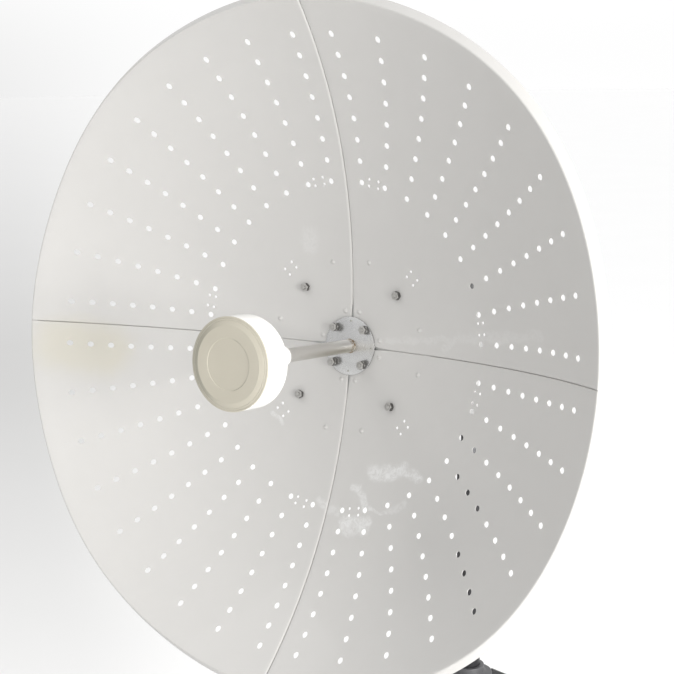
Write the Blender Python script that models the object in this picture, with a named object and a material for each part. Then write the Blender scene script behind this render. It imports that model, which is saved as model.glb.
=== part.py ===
"""Perforated dish antenna on a short mast.

Four pressed sheet petals make the reflector. A round hub plate in front and a
back plate behind clamp them together. A tube carries the feed drum in front of
the dish, and a tilting bracket behind it is clamped to the mast.

Metres, +Z up. The origin lies on the underside of the foot plate, on the axis
of the mast. The dish faces -Y and is tipped back, so it looks a little upwards.
In the dish's own frame X is the same, Y runs up the dish and Z is its axis,
counted from the vertex of the dish's curve.
"""

import math

import bmesh
import bpy
from mathutils import Vector
from mathutils.geometry import delaunay_2d_cdt

# Gap that touching pieces keep between their faces
GAP = 0.0003

# Least square of a radius that is divided by
TINY = 1e-12

# Dish. The height of its front face is a sum of a second and a fourth power of the
# radius. The seam terms come on top along the seams, and fade out between them
VERTEX_HEIGHT = 1.000
MAST_SETBACK = 0.427
ELEVATION = math.radians(7.6)
DISH_RADIUS = 0.600
RIM_SWING = 0.00495
RIM_RIPPLE = 0.00102
FLOOR_HEIGHT = 0.0123
SQUARE_TERM = 0.52503
FOURTH_TERM = 0.18932
SEAM_SQUARE_TERM = -0.03742
SEAM_FOURTH_TERM = 0.21916
SHEET = 0.002
LIP_LENGTH = 0.020
SEAM_GAP = 0.0006
SEAM_FLARE = 0.0018
FLARE_START = 0.058
FLARE_END = 0.088
FLANGE_DEPTH = 0.022
FLANGE_START = 0.180
FLANGE_END = 0.578
PETAL_INNER_RADIUS = 0.026
RIM_STEPS = 20

# Arcs of points that shape a petal's plain areas: radius, steps and angle left at the seams
PETAL_ARCS = ((0.056, 6, 0.10), (0.085, 7, 0.08), (0.112, 8, 0.06), (0.160, 9, 0.06))
PETAL_ARCS += ((0.185, 8, 0.10), (0.225, 9, 0.10), (0.262, 10, 0.12), (0.575, 14, 0.06))

# Perforations, in rows that fan out on both sides of each petal's middle line
SIDE_ROWS = 4
HOLES_PER_ROW = 8
HOLE_RADIUS = 0.0051
HOLE_SIDES = 6
FIRST_HOLE = 0.30274
HOLE_PITCH = 0.03789
PITCH_LOSS = 0.00042
ROW_BOW = 0.00369
ROW_BOW_GAIN = 0.00088
FAN_STEP = math.radians(9.65319)
FAN_STEP_GAIN = math.radians(0.07504)

# Hub and its bolts
HUB_RADIUS = 0.054
HUB_THICKNESS = 0.003
HUB_BOLT_CIRCLE = 0.0457
PETAL_BOLT_CIRCLE = 0.1428
BOLT_RADIUS = 0.004
BOLT_HOLE_RADIUS = 0.0046
BOLT_CLEARANCE = 0.0006
STUD_END = 0.003
NUT_FLATS = 0.014
NUT_HEIGHT = 0.0065
HUB_NUT_HEIGHT = 0.0055
HUB_STUD_END = 0.001
HEAD_HEIGHT = 0.0085
NUT_GROOVE = 0.0007
NUT_GROOVE_RADIUS = 0.0058
WASHER_RADIUS = 0.012
WASHER_THICKNESS = 0.0016
BACK_RADIUS = 0.165
BACK_THICKNESS = 0.004
BACK_BOSS_RADIUS = 0.098
BACK_BOSS_FOOT = 0.106

# Rings of points that shape the back plate: radius and steps
BACK_RINGS = ((0.020, 12), (0.032, 20), (0.060, 28), (0.080, 32), (BACK_BOSS_RADIUS, 40))
BACK_RINGS += ((BACK_BOSS_FOOT, 40), (0.126, 40))

# Feed
FEED_DROOP = math.radians(2.78)
FEED_REACH = 0.3508
TUBE_RADIUS = 0.01225
DRUM_RADIUS = 0.0793
DRUM_LENGTH = 0.0600
DRUM_EDGE = 0.010
COVER_LENGTH = 0.003
COVER_EDGE = 0.001
COVER_CROWN = 0.0038
COVER_FACE_RADIUS = 0.0646
COVER_DISC_RADIUS = 0.0435
COVER_DISC_DEPTH = 0.0008
COVER_DISC_EDGE = 0.001
BOSS_RADIUS = 0.018
BOSS_LENGTH = 0.0886
BOSS_EDGE = 0.002

# Socket of the feed's lead, as radii and distances behind the back plate
SOCKET_DROP = -0.130
SOCKET_STEPS = ((0.0220, 0.0195, 0.0062), (0.0195, 0.0080, 0.0078))
SOCKET_STEPS += ((0.0080, 0.0030, 0.0090), (0.0030, 0.0, 0.0150))

# Tilting bracket
BRACKET_BASE = (0.120, 0.150, 0.006)
CHEEK_THICKNESS = 0.005
CHEEK_INSET = 0.004
MAST_CHEEK_INNER = 0.036
PIVOT_Y = -0.215
PIVOT_HEIGHT = 0.920
PIVOT_RADIUS = 0.008
PIVOT_CLEARANCE = 0.0005
PIVOT_FLATS = 0.024
PIVOT_HEAD = 0.010
PIVOT_NUT = 0.013
PIVOT_STUD_END = 0.009
CHEEK_NOSE = 0.032
DISH_CHEEK_NOSE = (math.radians(190), math.radians(310))
DISH_CHEEK_WING = (math.radians(22), math.radians(46))
MAST_CHEEK_NOSE = (math.radians(165), math.radians(262))
WING_MARGIN = 0.020
LOCK_ARC = 0.075
LOCK_LEAN = math.radians(52)
LOCK_SWEEP = math.radians(16)
LOCK_SLOT_CLEARANCE = 0.0012
LOCK_STUD_END = 0.005
MAST_CHEEK_SHOULDER = (-0.120, 0.990)
LOCK_PAD = ((0.020, 0.014), (-0.010, 0.016), (-0.020, -0.004))

# Mast
UPPER_RADIUS = 0.017
UPPER_WALL = 0.0025
UPPER_TOP = 1.085
LOWER_RADIUS = 0.0255
LOWER_WALL = 0.003
LOWER_TOP = 0.695
UPPER_OVERLAP = 0.120
REDUCER_FLANGE = 0.020
REDUCER_RADIUS = 0.028
REDUCER_EDGE = 0.003
REDUCER_DEPTH = 0.072
CAP_HEIGHT = 0.006
CAP_OVERHANG = 0.0015
CAP_EDGE = 0.0025
CAP_PLUG = 0.012

# Mast clamps
CLAMP_HEIGHTS = (0.932, 0.803)
CLAMP_HEIGHT = 0.026
CLAMP_HALF_WIDTH = 0.043
CLAMP_WALL = 0.006
CLAMP_SPLIT = 0.002
CLAMP_FRONT = 0.034
SPINE_HALF_WIDTH = 0.042
SPINE_THICKNESS = 0.006
SPINE_BOTTOM = 0.780
SPINE_TOP = 0.955

# Foot
COLLAR_RADIUS = 0.0528
COLLAR_TOP = 0.193
COLLAR_EDGE = 0.003
COLLAR_LIP_RADIUS = 0.0347
COLLAR_LIP_TOP = 0.210
COLLAR_LIP_EDGE = 0.002
FOOT_HALF = 0.290
FOOT_CORNER = 0.030
FOOT_THICKNESS = 0.010
RIB_THICKNESS = 0.008
RIB_REACH = 0.370
RIB_SLOPE = math.radians(27.7)
RIB_TIP = 0.016
ANCHOR_OFFSET = 0.245
ANCHOR_INSET = 0.150
ANCHOR_HOLE_RADIUS = 0.007

# Where the bolts stand about the dish's axis
CORNERS = {"upper_right": (1, 1), "upper_left": (-1, 1), "lower_left": (-1, -1), "lower_right": (1, -1)}

DISH_PAINT = (0.60, 0.59, 0.57, 1.0)
ZINC = (0.50, 0.50, 0.49, 1.0)
FEED_METAL = (0.47, 0.45, 0.41, 1.0)
DARK_STEEL = (0.045, 0.045, 0.050, 1.0)
GREY_PAINT = (0.20, 0.20, 0.205, 1.0)
BOLT_STEEL = (0.42, 0.42, 0.41, 1.0)
CREAM = (0.62, 0.59, 0.48, 1.0)
WHITE = (0.85, 0.85, 0.82, 1.0)


def clear_scene():
    for item in list(bpy.data.objects):
        bpy.data.objects.remove(item, do_unlink=True)


def material(name, colour, metallic, roughness):
    """A plain Principled material, made once for each name."""
    if name in bpy.data.materials:
        return bpy.data.materials[name]
    made = bpy.data.materials.new(name)
    made.use_nodes = True
    shader = made.node_tree.nodes["Principled BSDF"]
    shader.inputs["Base Color"].default_value = colour
    shader.inputs["Metallic"].default_value = metallic
    shader.inputs["Roughness"].default_value = roughness
    return made


def finish(name):
    """The material of one of the object's finishes."""
    finishes = {
        "dish_paint": (DISH_PAINT, 0.0, 0.45),
        "zinc": (ZINC, 0.8, 0.40),
        "feed_metal": (FEED_METAL, 0.8, 0.35),
        "dark_steel": (DARK_STEEL, 0.2, 0.50),
        "grey_paint": (GREY_PAINT, 0.1, 0.50),
        "bolt_steel": (BOLT_STEEL, 0.9, 0.35),
        "cream_plastic": (CREAM, 0.0, 0.40),
        "white_plastic": (WHITE, 0.0, 0.35),
    }
    return material(name, *finishes[name])


def add(name, points, faces, slot, parent=None, location=(0, 0, 0), rotation=(0, 0, 0)):
    """Makes one named object from points and faces, with its faces turned outwards."""
    mesh = bpy.data.meshes.new(name)
    mesh.from_pydata([tuple(p) for p in points], [], faces)
    work = bmesh.new()
    work.from_mesh(mesh)
    bmesh.ops.recalc_face_normals(work, faces=work.faces)
    work.to_mesh(mesh)
    work.free()
    mesh.materials.append(finish(slot))
    mesh.shade_smooth()
    mesh.set_sharp_from_angle(angle=math.radians(30))
    thing = bpy.data.objects.new(name, mesh)
    bpy.context.scene.collection.objects.link(thing)
    thing.parent = parent
    thing.location = location
    thing.rotation_euler = rotation
    return thing


def frame(name, location, rotation, parent=None):
    """An empty that carries a group of pieces."""
    thing = bpy.data.objects.new(name, None)
    bpy.context.scene.collection.objects.link(thing)
    thing.parent = parent
    thing.location = location
    thing.rotation_euler = rotation
    return thing


def circle(radius, sides, centre=(0.0, 0.0), phase=0.0):
    """Points of a regular polygon, counter-clockwise."""
    steps = [phase + 2 * math.pi * k / sides for k in range(sides)]
    return [(centre[0] + radius * math.cos(a), centre[1] + radius * math.sin(a)) for a in steps]


def turned(profile, sides):
    """A solid of revolution about Z. Profile points (r, z) run from bottom to top outside.

    A profile whose first and last radius are zero is closed at its poles, and any
    other is taken as a closed ring.
    """
    points = []
    faces = []
    rings = []
    for radius, z in profile:
        if radius == 0:
            rings.append([len(points)])
            points.append((0.0, 0.0, z))
        else:
            rings.append(list(range(len(points), len(points) + sides)))
            points += [(x, y, z) for x, y in circle(radius, sides)]
    pairs = list(zip(rings, rings[1:]))
    if profile[0][0] != 0:
        pairs.append((rings[-1], rings[0]))
    for low, high in pairs:
        for k in range(sides):
            n = (k + 1) % sides
            corners = [low[k % len(low)], low[n % len(low)], high[n % len(high)], high[k % len(high)]]
            faces.append(list(dict.fromkeys(corners)))
    return points, faces


def triangulated(outline, holes, extra=(), rings=()):
    """Triangles over a flat outline with holes.

    Returns the plane points, in the order outline, holes, extra, rings, and the triangles
    as index triples. Rings are open or closed chains of points kept as edges.
    """
    points = [Vector(p) for p in outline]
    edges = [(k, (k + 1) % len(outline)) for k in range(len(outline))]
    for hole in holes:
        start = len(points)
        points += [Vector(p) for p in hole]
        edges += [(start + k, start + (k + 1) % len(hole)) for k in range(len(hole))]
    for chain in rings:
        start = len(points)
        points += [Vector(p) for p in chain]
        edges += [(start + k, start + k + 1) for k in range(len(chain) - 1)]
    points += [Vector(p) for p in extra]
    found, _, triangles, origin, _, _ = delaunay_2d_cdt(points, edges, [], 0, 1e-7)
    back = [min(ids) for ids in origin]
    ends = [[back[i] for i in t] for t in triangles]
    kept = []
    for t in ends:
        centre = (points[t[0]] + points[t[1]] + points[t[2]]) / 3
        if inside(centre, outline) and not any(inside(centre, hole) for hole in holes):
            kept.append(t)
    return points, kept


def inside(point, polygon):
    """True where a plane point lies in a polygon, by counting the edges to its right."""
    x, y = point
    hit = False
    for (ax, ay), (bx, by) in zip(polygon, polygon[1:] + polygon[:1]):
        if (ay > y) != (by > y) and x < ax + (y - ay) * (bx - ax) / (by - ay):
            hit = not hit
    return hit


def slab(outline, thickness, holes=()):
    """A flat plate in the XY plane, from z = 0 to its thickness, with holes right through."""
    flat, triangles = triangulated(outline, list(holes))
    near = [(p.x, p.y, 0.0) for p in flat]
    far = [(p.x, p.y, thickness) for p in flat]
    return near + far, skins(triangles, len(flat)) + walls([outline, *holes], 0, len(flat))


def skins(triangles, count):
    """Faces of both sides of a sheet whose far points follow its near ones, count later."""
    return [list(t) for t in triangles] + [[i + count for i in t] for t in triangles]


def walls(loops, start, count):
    """Faces across a sheet, around loops whose points follow one another from a start index."""
    faces = []
    for loop in loops:
        size = len(loop)
        for k in range(size):
            a = start + k
            b = start + (k + 1) % size
            faces.append([a, b, b + count, a + count])
        start += size
    return faces


def bolt_stack(sections, sides=12):
    """A bolt along Z, closed at both ends. Sections (z0, z1, size, is_hex) follow one another."""
    points = []
    faces = []
    rings = []
    for z0, z1, size, is_hex in sections:
        for z in (z0, z1):
            rings.append(list(range(len(points), len(points) + sides)))
            for k in range(sides):
                angle = 2 * math.pi * k / sides
                reach = size
                if is_hex:
                    reach = size / 2 / math.cos(math.radians(30)) if k % 2 else size / 2
                points.append((reach * math.cos(angle), reach * math.sin(angle), z))
    for low, high in zip(rings, rings[1:]):
        faces += [[low[k], low[(k + 1) % sides], high[(k + 1) % sides], high[k]] for k in range(sides)]
    faces.append(rings[0][::-1])
    faces.append(rings[-1])
    return points, faces


def arc(radius, start, end, steps, centre=(0.0, 0.0)):
    """Points along a circular arc, both ends counted."""
    angles = [start + (end - start) * k / steps for k in range(steps + 1)]
    return [(centre[0] + radius * math.cos(a), centre[1] + radius * math.sin(a)) for a in angles]


def dish_height(x, y):
    """Height of the dish's front face.

    z = h + a s + b s^2 + (c + d s) (x^2 - y^2)^2 / s, with s = x^2 + y^2
    """
    square = max(x * x + y * y, TINY)
    lobe = (x * x - y * y) ** 2
    height = FLOOR_HEIGHT + SQUARE_TERM * square + FOURTH_TERM * square ** 2
    return height + (SEAM_SQUARE_TERM / square + SEAM_FOURTH_TERM) * lobe


def backward(x, y):
    """Unit vector square to the sheet, out of its back, from the slopes of dish_height."""
    square = max(x * x + y * y, TINY)
    lobe = x * x - y * y
    even = 2 * SQUARE_TERM + 4 * FOURTH_TERM * square - 2 * SEAM_SQUARE_TERM * (lobe / square) ** 2
    odd = 4 * lobe * (SEAM_SQUARE_TERM / square + SEAM_FOURTH_TERM)
    return Vector((x * (even + odd), y * (even - odd), -1.0)).normalized()


def behind(p, depth):
    """The point at a depth behind the dish's front face, square to it, from a plane point."""
    return Vector((p[0], p[1], dish_height(*p))) + backward(*p) * depth


DIAGONAL = math.sqrt(0.5)
HUB_BACK = dish_height(HUB_RADIUS * DIAGONAL, HUB_RADIUS * DIAGONAL) + GAP
HUB_FRONT = HUB_BACK + HUB_THICKNESS
BACK_REAR = FLOOR_HEIGHT - SHEET - GAP - BACK_THICKNESS
BASE_REAR = BACK_REAR - GAP - BRACKET_BASE[2]


def perforations():
    """Plane centres and directions of one petal's holes, for the petal between +X and +Y."""
    centres = []
    for row in range(-SIDE_ROWS, SIDE_ROWS + 1):
        for step in range(HOLES_PER_ROW):
            bow = (row / SIDE_ROWS) ** 2 * (ROW_BOW + ROW_BOW_GAIN * step)
            reach = FIRST_HOLE + HOLE_PITCH * step - PITCH_LOSS * step * (step - 1) - bow
            angle = math.pi / 4 + row * (FAN_STEP + FAN_STEP_GAIN * step)
            centres.append((reach * math.cos(angle), reach * math.sin(angle), angle))
    return centres


def rim_radius(angle):
    """Radius of the rim in plan. It is widest on the petals' middle lines."""
    return DISH_RADIUS - RIM_SWING * math.cos(4 * angle) + RIM_RIPPLE * math.cos(8 * angle)


def petal_outline():
    """Plan of one petal, and for each edge the way it ends: plain, lip or flange."""
    radii = [FLARE_END, 0.120, 0.150, FLANGE_START, 0.225, 0.270, 0.315, 0.360]
    radii += [0.405, 0.450, 0.495, 0.535, FLANGE_END]
    wide = SEAM_GAP + SEAM_FLARE
    corner = math.asin(SEAM_GAP / rim_radius(0))
    inner = math.asin(wide / PETAL_INNER_RADIUS)
    lower = [(FLARE_START, wide)] + [(r, SEAM_GAP) for r in radii]
    turns = [math.atan2(y, x) for x, y in arc(1.0, corner, math.pi / 2 - corner, RIM_STEPS)]
    rim = [(rim_radius(a) * math.cos(a), rim_radius(a) * math.sin(a)) for a in turns]
    upper = [(y, x) for x, y in reversed(lower)]
    throat = arc(PETAL_INNER_RADIUS, math.pi / 2 - inner, inner, 6)
    outline = lower + rim + upper + throat
    first = lower.index((FLANGE_START, SEAM_GAP))
    last = len(lower) - 1
    kinds = {}
    for k in range(first, last):
        kinds[k] = "flange"
    for k in range(len(lower), len(lower) + len(rim) - 1):
        kinds[k] = "lip"
    for k in range(first, last):
        kinds[2 * len(lower) + len(rim) - 2 - k] = "flange"
    return outline, kinds


def petal():
    """One petal between +X and +Y: pressed sheet, lip at the rim and flanges at the seams."""
    outline, kinds = petal_outline()
    size = len(outline)
    bolts = [HUB_BOLT_CIRCLE, PETAL_BOLT_CIRCLE]
    holes = [circle(HOLE_RADIUS, HOLE_SIDES, (x, y), angle) for x, y, angle in perforations()]
    holes += [circle(BOLT_HOLE_RADIUS, 12, (b * DIAGONAL, b * DIAGONAL)) for b in bolts]
    extra = []
    for radius, steps, edge in PETAL_ARCS:
        extra += arc(radius, edge, math.pi / 2 - edge, steps)
    flat, triangles = triangulated(outline, holes, extra)
    front = [behind(p, 0) for p in flat]
    square = [backward(*p) for p in flat]

    def uses(k):
        return {kinds.get(k, "plain"), kinds.get((k - 1) % size, "plain")}

    back = []
    shift = {}
    for k, (p, away) in enumerate(zip(front, square)):
        inward = Vector((0, 0, 0))
        if k < size and "flange" in uses(k):
            inward += Vector((0, 1, 0)) if p.x > p.y else Vector((1, 0, 0))
        if k < size and "lip" in uses(k):
            plan = Vector((p.x, p.y, 0)).normalized()
            inward -= Vector((-away.z * plan.x, -away.z * plan.y, away.x * plan.x + away.y * plan.y))
        shift[k] = inward * SHEET
        back.append(p + away * SHEET + shift[k])
    points = front + back
    count = len(front)
    faces = skins(triangles, count) + walls(holes, size, count)

    tips = {}

    def section(k, kind):
        """Point indices across the edge at outline point k, from front to back."""
        if kind == "plain":
            return [k, k + count]
        if (k, kind) not in tips:
            reach = LIP_LENGTH if kind == "lip" else FLANGE_DEPTH
            outer = front[k] + square[k] * reach
            tips[k, kind] = [k, len(points), len(points) + 1, k + count]
            points.append(outer)
            points.append(outer + shift[k])
        return tips[k, kind]

    for k in range(size):
        n = (k + 1) % size
        kind = kinds.get(k, "plain")
        a = section(k, kind)
        b = section(n, kind)
        for i in range(len(a) - 1):
            faces.append([a[i], b[i], b[i + 1], a[i + 1]])
        after = kinds.get(n, "plain")
        if kind != after:
            for side in (kind, after):
                if side != "plain":
                    faces.append(list(section(n, side)))
    return points, faces


def make_petals(dish):
    """Four alike petals, each turned a quarter about the dish's axis."""
    points, faces = petal()
    names = ["petal_upper_right", "petal_upper_left", "petal_lower_left", "petal_lower_right"]
    for quarter, name in enumerate(names):
        turn = (0, 0, quarter * math.pi / 2)
        add(name, points, faces, "dish_paint", parent=dish, rotation=turn)


def ring_of_holes(radius, hole, sides=12):
    """Four holes on the diagonals of a square, at a radius from the middle."""
    reach = radius * DIAGONAL
    return [circle(hole, sides, (x * reach, y * reach)) for x in (-1, 1) for y in (-1, 1)]


def back_plate():
    """Round plate whose front follows the petals' backs, with a flat boss on its rear."""
    holes = ring_of_holes(HUB_BOLT_CIRCLE, BOLT_HOLE_RADIUS)
    holes += ring_of_holes(PETAL_BOLT_CIRCLE, BOLT_HOLE_RADIUS)
    rings = [circle(radius, steps) for radius, steps in BACK_RINGS]
    closed = [ring + ring[:1] for ring in rings]
    outline = circle(BACK_RADIUS, 48)
    flat, triangles = triangulated(outline, holes, [(0, 0)], closed)
    depth = SHEET + GAP
    front = [behind(p, depth) for p in flat]
    rear = []
    for p, near in zip(flat, front):
        on_boss = p.length < (BACK_BOSS_RADIUS + BACK_BOSS_FOOT) / 2
        rear.append(Vector((near.x, near.y, BACK_REAR)) if on_boss else behind(p, depth + BACK_THICKNESS))
    count = len(flat)
    return front + rear, skins(triangles, count) + walls([outline, *holes], 0, count)


def make_hub(dish):
    """Front hub plate, round back plate and the bolts that clamp the petals between them."""
    holes = ring_of_holes(HUB_BOLT_CIRCLE, BOLT_HOLE_RADIUS)
    points, faces = slab(circle(HUB_RADIUS, 48), HUB_THICKNESS, holes)
    add("hub_plate", points, faces, "zinc", parent=dish, location=(0, 0, HUB_BACK))
    points, faces = back_plate()
    add("back_plate", points, faces, "zinc", parent=dish)

    front = HUB_FRONT + GAP
    rear = BASE_REAR - GAP
    jam = front + HUB_NUT_HEIGHT + NUT_GROOVE
    hub_bolt = bolt_stack([
        (rear - NUT_HEIGHT, rear, NUT_FLATS, True),
        (rear, front, BOLT_RADIUS, False),
        (front, front + HUB_NUT_HEIGHT, NUT_FLATS, True),
        (front + HUB_NUT_HEIGHT, jam, NUT_GROOVE_RADIUS, False),
        (jam, jam + HUB_NUT_HEIGHT, NUT_FLATS, True),
        (jam + HUB_NUT_HEIGHT, jam + HUB_NUT_HEIGHT + HUB_STUD_END, BOLT_RADIUS, False),
    ])
    for corner, (x, y) in CORNERS.items():
        place = (x * HUB_BOLT_CIRCLE * DIAGONAL, y * HUB_BOLT_CIRCLE * DIAGONAL, 0)
        add("hub_bolt_" + corner, *hub_bolt, "bolt_steel", parent=dish, location=place)

    rear = -SHEET - BACK_THICKNESS - 2 * GAP
    petal_bolt = bolt_stack([
        (rear - NUT_HEIGHT - STUD_END, rear - NUT_HEIGHT, BOLT_RADIUS, False),
        (rear - NUT_HEIGHT, rear, NUT_FLATS, True),
        (rear, GAP, BOLT_RADIUS, False),
        (GAP, GAP + HEAD_HEIGHT, NUT_FLATS, True),
        (GAP + HEAD_HEIGHT, GAP + HEAD_HEIGHT + STUD_END, BOLT_RADIUS, False),
    ])
    for corner, (x, y) in CORNERS.items():
        spot = (x * PETAL_BOLT_CIRCLE * DIAGONAL, y * PETAL_BOLT_CIRCLE * DIAGONAL)
        stand(dish, "petal_bolt_" + corner, petal_bolt, spot, 0)


def stand(dish, name, shape, spot, depth):
    """Adds a bolt-like piece square to the sheet, with its origin at a depth behind the front."""
    lean = (-backward(*spot)).to_track_quat("Z", "Y").to_euler()
    add(name, *shape, "bolt_steel", parent=dish, location=behind(spot, depth), rotation=lean)


def make_feed(dish):
    """Feed tube, its boss, the drum and the drum's front cover."""
    feed = frame("feed_axis", (0, 0, HUB_FRONT), (FEED_DROOP, 0, 0), dish)
    drum_back = FEED_REACH - DRUM_LENGTH
    tube_end = drum_back - BOSS_LENGTH - 2 * GAP
    points, faces = turned([(0, 0), (TUBE_RADIUS, 0), (TUBE_RADIUS, tube_end), (0, tube_end)], 32)
    mitred = []
    for x, y, z in points:
        foot = (GAP - y * math.sin(FEED_DROOP)) / math.cos(FEED_DROOP)
        mitred.append((x, y, foot if z == 0 else z))
    add("feed_tube", mitred, faces, "feed_metal", parent=feed)

    boss_back = drum_back - BOSS_LENGTH - GAP
    boss = [(0, boss_back), (BOSS_RADIUS - BOSS_EDGE, boss_back), (BOSS_RADIUS, boss_back + BOSS_EDGE)]
    boss += [(BOSS_RADIUS, drum_back - GAP), (0, drum_back - GAP)]
    points, faces = turned(boss, 32)
    add("feed_boss", points, faces, "white_plastic", parent=feed)

    cover_back = FEED_REACH - COVER_LENGTH
    side = [(0, drum_back)]
    side += arc(DRUM_EDGE, -math.pi / 2, 0, 5, (DRUM_RADIUS - DRUM_EDGE, drum_back + DRUM_EDGE))
    side += [(DRUM_RADIUS, cover_back - GAP), (0, cover_back - GAP)]
    points, faces = turned(side, 48)
    add("feed_drum", points, faces, "white_plastic", parent=feed)

    crown = FEED_REACH + COVER_CROWN
    floor = crown - COVER_DISC_DEPTH
    face = [(0, cover_back), (DRUM_RADIUS, cover_back), (DRUM_RADIUS, FEED_REACH - COVER_EDGE)]
    face += [(DRUM_RADIUS - COVER_EDGE, FEED_REACH), (COVER_FACE_RADIUS, crown)]
    face += [(COVER_DISC_RADIUS + COVER_DISC_EDGE, crown)]
    face += [(COVER_DISC_RADIUS, floor), (0, floor)]
    points, faces = turned(face, 48)
    add("feed_cover", points, faces, "cream_plastic", parent=feed)


def make_socket(dish):
    """Socket for the feed's lead, on the back plate below the bracket's base."""
    shape = bolt_stack([(-far, -near, radius, False) for far, near, radius in SOCKET_STEPS], 16)
    stand(dish, "feed_socket", shape, (0, SOCKET_DROP), SHEET + BACK_THICKNESS + 2 * GAP)


def to_dish(y, z):
    """A world point of the middle plane as height up the dish and distance along its axis."""
    back = y + MAST_SETBACK
    up = z - VERTEX_HEIGHT
    along = -back * math.cos(ELEVATION) + up * math.sin(ELEVATION)
    return back * math.sin(ELEVATION) + up * math.cos(ELEVATION), along


def upright(points, faces, x):
    """Turns a plate that was drawn flat so that its plane is square to X, with its near face at x."""
    return [(x + p[2], p[0], p[1]) for p in points], faces


def make_dish_bracket(dish):
    """Base on the back plate, with two cheeks that reach back to the tilt pivot."""
    width, height, thick = BRACKET_BASE
    half_w = width / 2
    half_h = height / 2
    outline = [(-half_w, -half_h), (half_w, -half_h), (half_w, half_h), (-half_w, half_h)]
    points, faces = slab(outline, thick, ring_of_holes(HUB_BOLT_CIRCLE, BOLT_HOLE_RADIUS))
    add("bracket_base", points, faces, "zinc", parent=dish, location=(0, 0, BASE_REAR))

    pivot = to_dish(PIVOT_Y, PIVOT_HEIGHT)
    root = BASE_REAR - GAP
    outline = [(half_h - CHEEK_INSET, root), (-half_h + CHEEK_INSET, root)]
    outline += arc(CHEEK_NOSE, *DISH_CHEEK_NOSE, 8, pivot)
    outline += arc(LOCK_ARC + WING_MARGIN, *DISH_CHEEK_WING, 3, pivot)
    wide = BOLT_RADIUS + LOCK_SLOT_CLEARANCE
    slot = arc(LOCK_ARC + wide, LOCK_LEAN - LOCK_SWEEP, LOCK_LEAN + LOCK_SWEEP, 6, pivot)
    slot += arc(LOCK_ARC - wide, LOCK_LEAN + LOCK_SWEEP, LOCK_LEAN - LOCK_SWEEP, 6, pivot)
    holes = [circle(PIVOT_RADIUS + PIVOT_CLEARANCE, 16, pivot), slot]
    inner = MAST_CHEEK_INNER + CHEEK_THICKNESS + GAP
    for side, near in (("left", -inner - CHEEK_THICKNESS), ("right", inner)):
        points, faces = slab(outline, CHEEK_THICKNESS, holes)
        points, faces = upright(points, faces, near)
        add("dish_cheek_" + side, points, faces, "zinc", parent=dish)


def lock_centre():
    """Place of the lock bolt, in the dish's plane: above the pivot, towards the dish."""
    pivot = to_dish(PIVOT_Y, PIVOT_HEIGHT)
    return pivot[0] + LOCK_ARC * math.cos(LOCK_LEAN), pivot[1] + LOCK_ARC * math.sin(LOCK_LEAN)


def to_world(up, along):
    """The inverse of to_dish."""
    y = up * math.sin(ELEVATION) - along * math.cos(ELEVATION) - MAST_SETBACK
    z = up * math.cos(ELEVATION) + along * math.sin(ELEVATION) + VERTEX_HEIGHT
    return y, z


def make_mast_bracket():
    """Upright spine beside the mast with two cheeks forward to the pivot."""
    spine_back = -CLAMP_FRONT - GAP
    spine_front = spine_back - SPINE_THICKNESS
    outline = [(-SPINE_HALF_WIDTH, SPINE_BOTTOM), (SPINE_HALF_WIDTH, SPINE_BOTTOM)]
    outline += [(SPINE_HALF_WIDTH, SPINE_TOP), (-SPINE_HALF_WIDTH, SPINE_TOP)]
    points, faces = slab(outline, SPINE_THICKNESS)
    points = [(p[0], spine_front + p[2], p[1]) for p in points]
    add("mast_spine", points, faces, "zinc")

    pivot = (PIVOT_Y, PIVOT_HEIGHT)
    lock = to_world(*lock_centre())
    root = spine_front - GAP
    outline = [(root, SPINE_BOTTOM + CHEEK_INSET), (root, SPINE_TOP - CHEEK_INSET), MAST_CHEEK_SHOULDER]
    outline += [(lock[0] + y, lock[1] + z) for y, z in LOCK_PAD]
    outline += arc(CHEEK_NOSE, *MAST_CHEEK_NOSE, 6, pivot)
    holes = [circle(PIVOT_RADIUS + PIVOT_CLEARANCE, 16, pivot)]
    holes += [circle(BOLT_RADIUS + BOLT_CLEARANCE, 12, lock)]
    for side, near in (("left", -MAST_CHEEK_INNER - CHEEK_THICKNESS), ("right", MAST_CHEEK_INNER)):
        points, faces = slab(outline, CHEEK_THICKNESS, holes)
        points, faces = upright(points, faces, near)
        add("mast_cheek_" + side, points, faces, "zinc")


def make_pivot_bolts():
    """Pivot bolt through all four cheeks, and a lock bolt on each side."""
    head = MAST_CHEEK_INNER + 2 * CHEEK_THICKNESS + 2 * GAP
    points, faces = bolt_stack([
        (-head - PIVOT_HEAD, -head, PIVOT_FLATS, True),
        (-head, head, PIVOT_RADIUS, False),
        (head, head + PIVOT_NUT, PIVOT_FLATS, True),
        (head + PIVOT_NUT, head + PIVOT_NUT + PIVOT_STUD_END, PIVOT_RADIUS, False),
    ])
    across = [(z, y, -x) for x, y, z in points]
    add("pivot_bolt", across, faces, "bolt_steel", location=(0, PIVOT_Y, PIVOT_HEIGHT))
    y, z = to_world(*lock_centre())
    inner = MAST_CHEEK_INNER - GAP
    nut = head + WASHER_THICKNESS
    points, faces = bolt_stack([
        (inner - NUT_HEIGHT, inner, NUT_FLATS, True),
        (inner, head, BOLT_RADIUS, False),
        (head, nut, WASHER_RADIUS, False),
        (nut, nut + NUT_HEIGHT, NUT_FLATS, True),
        (nut + NUT_HEIGHT, nut + NUT_HEIGHT + LOCK_STUD_END, BOLT_RADIUS, False),
    ])
    for side, label in ((-1, "left"), (1, "right")):
        across = [(side * p[2], p[1], -side * p[0]) for p in points]
        add("lock_bolt_" + label, across, faces, "bolt_steel", location=(0, y, z))


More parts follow.
